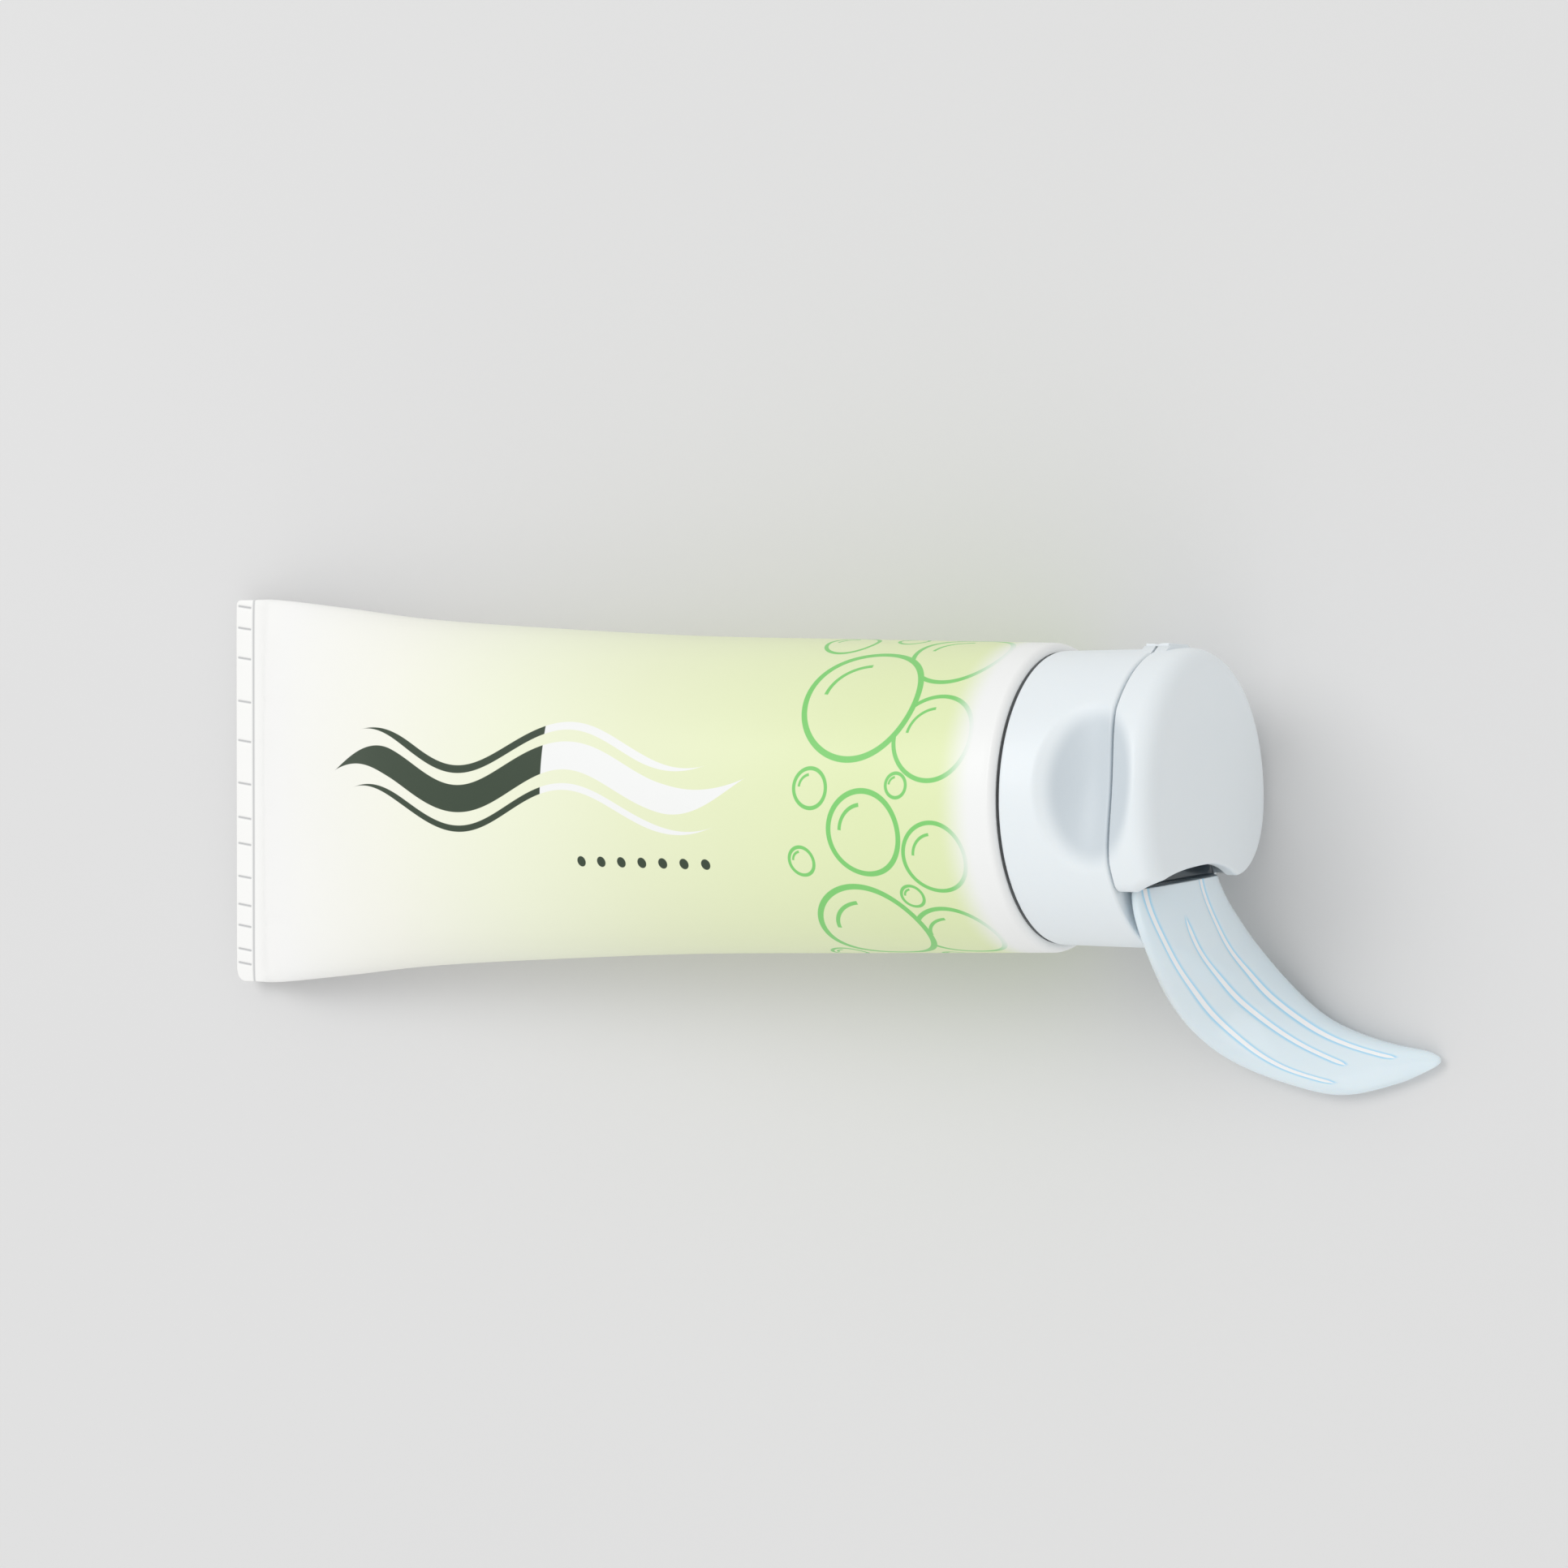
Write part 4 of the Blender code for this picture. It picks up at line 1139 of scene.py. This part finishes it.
def colour(red, green, blue):
    """A linear RGBA colour from display values between 0 and 255."""
    channels = []
    for value in (red, green, blue):
        value = value / 255
        channels.append(value / 12.92 if value <= 0.04045 else ((value + 0.055) / 1.055) ** 2.4)
    return (*channels, 1.0)


DARK_PRINT = colour(40, 60, 37)
WHITE_PRINT = colour(248, 249, 248)
GREEN_PRINT = colour(129, 212, 114)
# painted shade: grey in the crimp's rib grooves and along its inner line
RIB_SHADE_COLOUR = colour(196, 197, 198)
# Two colours between which a finish drifts.
CAP_WHITES = colour(236, 243, 247), colour(240, 246, 249)
SHOULDER_WHITES = colour(226, 229, 230), colour(236, 238, 238)
PASTE_BLUES = colour(224, 238, 246), colour(231, 244, 251)
FLOOR_GREYS = colour(224, 224, 224), colour(228, 228, 228)
# painted shade over the thumb recess
RECESS_SHADE_COLOUR = colour(208, 217, 223)
# painted shade: dark grey inside the lid's mouth and on the paste sunk behind it
MOUTH_SHADE_COLOUR = colour(92, 103, 111)
STRIPE_CYAN = colour(168, 222, 252)
STRIPE_WHITE = colour(253, 254, 255)
# How far past a stripe's edge its colour fades out and in, in millimetres.
CYAN_FADE = (0.5, 0.02)
WHITE_FADE = (0.05, -0.07)
RIB_SHADE_FADE = (0.15, 0.9)  # shares of a rib's depth over which its painted shade comes in

# Print on the sleeve, in millimetres along the tube (x) and round it from the top line (s).
# The ground's colour at places along the tube.
GROUND = (
    (-60, colour(251, 251, 249)), (-32, colour(250, 250, 239)), (-4, colour(244, 248, 222)),
    (20, colour(238, 244, 207)), (58, colour(231, 242, 189)),
)
PRINT_EDGE = 0.05  # half the softness of a printed edge
CUT_EDGE = 0.01  # half the softness where a part of the pattern ends
FADE_START = 68.5
FADE_END = 73.6
WAVE_SPLIT = 3.3
WAVE_LENGTH = 42.0
WAVE_HEIGHT = 3.0
WAVE_TAPER = 16.0
# Lines of the wave, as (start, end, middle, half width).
WAVES = (
    (-45.0, 41.0, 2.4, 1.9),
    (-40.0, 36.0, 6.5, 0.55),
    (-41.5, 37.5, -1.8, 0.45),
)
DOT_START = 10.0
DOT_PITCH = 3.6
DOT_COUNT = 7
DOT_MIDDLE = -9.0
DOT_RADIUS = 0.75
# Rings of the pattern near the cap, as (x, s, radius, half line width).
RINGS = (
    (66.0, 22.4, 6.6, 0.34), (67.2, 7.8, 5.6, 0.3), (55.0, 13.2, 8.4, 0.42),
    (67.6, -7.4, 4.5, 0.28), (57.4, -4.4, 5.3, 0.36), (66.6, -20.6, 5.8, 0.34),
    (54.6, -19.4, 7.8, 0.42), (47.6, 25.6, 3.6, 0.28), (47.2, -8.2, 1.9, 0.24),
    (49.4, 1.2, 2.5, 0.26), (62.9, -12.9, 1.6, 0.22), (62.6, 1.6, 1.5, 0.22),
    (46.2, -27.2, 2.4, 0.26), (56.0, 27.6, 2.0, 0.24), (61.5, -28.4, 1.4, 0.22),
)
GLINT_SHARE = 0.68
GLINT_SPREAD = 0.78
GLINT_LINE_SHARE = 0.7


def print_ground(made, x):
    """White at the tail, running to lime towards the cap."""
    ground = GROUND[0][1]
    for (before, _), (after, next_colour) in zip(GROUND, GROUND[1:]):
        ground = made.mix(made.ramp(x, before, after, 0.0, 1.0), ground, next_colour)
    return ground


def ring_pattern(made, x, s):
    """Rings with a glint in each, where a later ring hides what lies under it; repeated on the back."""
    turned = made.math("FLOORED_MODULO", made.math("ADD", s, GIRTH / 4), GIRTH / 2)
    half_s = made.math("SUBTRACT", turned, GIRTH / 4)
    lines = 0.0
    for ring_x, ring_s, radius, half_line in RINGS:
        across = made.math("SUBTRACT", x, ring_x)
        up = made.math("SUBTRACT", half_s, ring_s)
        away = made.length(across, up)
        outside = made.fade(away, radius - PRINT_EDGE, radius + PRINT_EDGE)
        rim = made.line(made.apart(away, radius), half_line)
        lines = made.math("MAXIMUM", made.math("MULTIPLY", lines, outside), rim)
        diagonal = made.math("MULTIPLY", away, math.sqrt(2))
        toward = made.math("DIVIDE", made.math("SUBTRACT", up, across), diagonal)
        in_glint = made.fade(toward, GLINT_SPREAD - CUT_EDGE, GLINT_SPREAD + CUT_EDGE)
        glint = made.line(made.apart(away, radius * GLINT_SHARE), half_line * GLINT_LINE_SHARE)
        lines = made.math("MAXIMUM", lines, made.math("MULTIPLY", glint, in_glint))
    return lines


def wave_pattern(made, x, s):
    """Parallel waves whose ends taper to points."""
    turns = 2 * math.pi / WAVE_LENGTH
    phase = made.math("MULTIPLY", made.math("SUBTRACT", x, WAVES[0][0]), turns)
    swing = made.math("MULTIPLY", made.math("SINE", phase), WAVE_HEIGHT)
    slope = made.math("MULTIPLY", made.math("COSINE", phase), WAVE_HEIGHT * turns)
    steep = made.math("SQRT", made.math("MULTIPLY_ADD", slope, slope, 1.0))
    waves = 0.0
    for start, end, middle, half_width in WAVES:
        off = made.math("DIVIDE", made.apart(s, made.math("ADD", swing, middle)), steep)
        ends = made.fade(x, start, start + WAVE_TAPER), made.fade(x, end, end - WAVE_TAPER)
        tapered = made.math("MULTIPLY", *ends)
        reach = made.math("MULTIPLY_ADD", tapered, half_width + 2 * PRINT_EDGE, -2 * PRINT_EDGE)
        inside = made.fade(made.math("SUBTRACT", reach, off), -PRINT_EDGE, PRINT_EDGE)
        waves = made.math("MAXIMUM", waves, inside)
    return waves


def dot_pattern(made, x, s):
    """A short row of dots."""
    place = made.math("SUBTRACT", x, DOT_START - DOT_PITCH / 2)
    within = made.math("FLOORED_MODULO", place, DOT_PITCH)
    across = made.math("SUBTRACT", within, DOT_PITCH / 2)
    away = made.length(across, made.math("SUBTRACT", s, DOT_MIDDLE))
    end = DOT_PITCH * DOT_COUNT
    begun = made.fade(place, -CUT_EDGE, CUT_EDGE)
    unfinished = made.fade(place, end + CUT_EDGE, end - CUT_EDGE)
    in_row = made.math("MULTIPLY", begun, unfinished)
    return made.math("MULTIPLY", made.line(away, DOT_RADIUS), in_row)


def laminate_material():
    """White to lime print with a two-tone wave, a row of dots and a pattern of rings, and painted shade
    in the crimp's rib grooves.
    """
    made = Nodes("printed_laminate_and_rib_shade")
    place = made.node("ShaderNodeUVMap", uv_map="print_place")
    x, s = made.parts(place.outputs[0])[:2]
    printed = made.mix(ring_pattern(made, x, s), print_ground(made, x), GREEN_PRINT)
    printed = made.mix(made.fade(x, FADE_START, FADE_END), printed, WHITE_PRINT)
    past_split = made.fade(x, WAVE_SPLIT - PRINT_EDGE, WAVE_SPLIT + PRINT_EDGE)
    tone = made.mix(past_split, DARK_PRINT, WHITE_PRINT)
    printed = made.mix(wave_pattern(made, x, s), printed, tone)
    printed = made.mix(dot_pattern(made, x, s), printed, DARK_PRINT)
    # painted shade: grey in the crimp's rib grooves and along its inner line
    pressed = made.fade(made.attribute("pressed"), *RIB_SHADE_FADE)
    printed = made.mix(pressed, printed, RIB_SHADE_COLOUR)
    mottle = made.mix(made.noise(180.0, 4.0), (0.8, 0.8, 0.78, 1.0), (1.0, 1.0, 1.0, 1.0))
    printed = made.mix(0.05, printed, mottle, "MULTIPLY")
    normal = made.bump(made.noise(60.0, 2.0), 0.12, 0.0004)
    normal = made.bump(made.noise(2600.0, 2.0), 0.06, 0.00005, normal)
    rough = made.ramp(made.noise(320.0, 3.0, (0.4, 1.0, 1.0)), 0.0, 1.0, 0.36, 0.46)
    made.set(Base_Color=printed, Roughness=rough, Normal=normal, Coat_Weight=0.12, Coat_Roughness=0.25)
    return made.material


def cap_material():
    """Cool white moulded plastic, with painted shade over the thumb recess and inside the mouth."""
    made = Nodes("cap_plastic_and_painted_shade")
    base = made.mix(made.noise(90.0), *CAP_WHITES)
    # painted shade: a darker oval over the thumb recess
    base = made.mix(made.attribute("recess_shade_share"), base, RECESS_SHADE_COLOUR)
    # painted shade inside the lid's mouth
    base = made.mix(made.attribute("lid_mouth_shade"), base, MOUTH_SHADE_COLOUR)
    made.set(
        Base_Color=base, Roughness=made.ramp(made.noise(700.0), 0.0, 1.0, 0.32, 0.44),
        Normal=made.bump(made.noise(5200.0, 2.0), 0.12, 0.00004),
        Subsurface_Weight=0.12, Subsurface_Radius=(0.9, 1.0, 1.1), Subsurface_Scale=0.0008,
    )
    return made.material


def shoulder_material():
    """Natural polyethylene, slightly translucent."""
    made = Nodes("shoulder_plastic_finish")
    made.set(
        Base_Color=made.mix(made.noise(140.0), *SHOULDER_WHITES),
        Roughness=0.42, Normal=made.bump(made.noise(4200.0, 2.0), 0.1, 0.00004),
        Subsurface_Weight=0.2, Subsurface_Radius=(1.0, 1.0, 1.0), Subsurface_Scale=0.001,
    )
    return made.material


def paste_material():
    """Pale blue paste with white stripes whose edges are cyan, wet, and with painted shade in the
    mouth.
    """
    made = Nodes("paste_and_painted_shade")
    distances = made.parts(made.attribute("stripe_distance", "Vector"))
    reaches = made.parts(made.attribute("stripe_reach", "Vector"))
    base = made.mix(made.noise(120.0), *PASTE_BLUES)
    # painted shade on the paste's face sunk inside the mouth
    base = made.mix(made.attribute("paste_mouth_shade"), base, MOUTH_SHADE_COLOUR)
    for distance, reach in zip(distances, reaches):
        past_edge = made.math("SUBTRACT", made.math("ABSOLUTE", distance), reach)
        present = made.fade(reach, 0.0, STRIPE_HALF_WIDTH * 0.5)
        for tint, reached in ((STRIPE_CYAN, CYAN_FADE), (STRIPE_WHITE, WHITE_FADE)):
            share = made.math("MULTIPLY", made.fade(past_edge, *reached), present)
            base = made.mix(share, base, tint)
    made.set(
        Base_Color=base, Roughness=0.2, Coat_Weight=0.5, Coat_Roughness=0.06,
        Normal=made.bump(made.noise(500.0, 3.0, (0.6, 0.3, 1.0)), 0.1, 0.0002),
        Subsurface_Weight=0.25, Subsurface_Radius=(0.8, 1.0, 1.2), Subsurface_Scale=0.0012,
    )
    return made.material


def floor_material():
    """A plain pale surface with a barely visible cloudiness."""
    made = Nodes("floor_finish")
    base = made.mix(made.noise(6.0, 2.0), *FLOOR_GREYS)
    made.set(Base_Color=base, Roughness=0.75, Specular_IOR_Level=0.2)
    return made.material


def give(piece, material):
    """Make a material the piece's only one."""
    piece.data.materials.clear()
    piece.data.materials.append(material)


# ---- stage

def make_floor():
    """A wide level floor, a hair under the surface that the tube rests on."""
    corners = [(-1, -1), (1, -1), (1, 1), (-1, 1)]
    points = [(FLOOR_REACH * x, FLOOR_REACH * y, -FLOOR_DROP) for x, y in corners]
    floor = mesh_object("floor", points, [(0, 1, 2, 3)])
    give(floor, floor_material())


def make_light(name, direction, size, power):
    """A square lamp in a direction from the tube, facing it."""
    data = bpy.data.lights.new(name, "AREA")
    data.size = size
    data.energy = power
    lamp = add_object(name, data)
    away = Vector(direction).normalized()
    lamp.location = LAMP_AIM + away * LAMP_DISTANCE
    lamp.rotation_euler = away.to_track_quat("Z", "Y").to_euler()


def make_lighting():
    """A soft key from above, a weaker fill from the near side, and an even white world."""
    make_light("key", (-0.35, 0.42, 0.84), size=1.2, power=10.6)
    make_light("fill", (0.25, -0.8, 0.55), size=1.6, power=4.0)
    world = bpy.data.worlds.new("studio")
    world.use_nodes = True
    background = world.node_tree.nodes["Background"]
    background.inputs["Color"].default_value = (1.0, 1.0, 1.0, 1.0)
    background.inputs["Strength"].default_value = WORLD_STRENGTH
    bpy.context.scene.world = world


def make_camera():
    """Camera above the cap end, with +Y upwards in its picture."""
    level = math.cos(CAMERA_RISE)
    toward = Vector((
        math.sin(CAMERA_TILT) * level, math.sin(CAMERA_RISE), math.cos(CAMERA_TILT) * level,
    ))
    right = Vector((0.0, 1.0, 0.0)).cross(toward).normalized()
    up = toward.cross(right)
    data = bpy.data.cameras.new("camera")
    data.lens = CAMERA_LENS
    data.sensor_width = CAMERA_SENSOR
    camera = add_object("camera", data)
    placed = Matrix((right, up, toward)).transposed().to_4x4()
    placed.translation = (CAMERA_TARGET + toward * CAMERA_DISTANCE) * MM
    camera.matrix_world = placed
    bpy.context.scene.camera = camera


def main():
    """Stage, pieces and what each stands for."""
    make_camera()
    make_lighting()
    make_floor()
    plastic = cap_material()
    pieces = (
        (make_sleeve(), laminate_material(), "tube", "tube_sleeve", "laminate"),
        (make_cap_base(), plastic, "tube", "cap_base", "cap_plastic"),
        (make_cap_lid(), plastic, "lid", "cap_lid", "cap_plastic"),
        (make_paste(), paste_material(), "tube", "toothpaste", "paste"),
    )
    for piece, material, body, node, slot in pieces:
        give(piece, material)
        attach(piece, body)
        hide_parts(node)
    film = make_hinge_film()
    give(film, plastic)
    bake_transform(film)
    give(frame["nodes"]["shoulder_neck"], shoulder_material())
    bpy.context.scene.view_settings.view_transform = "Standard"


main()
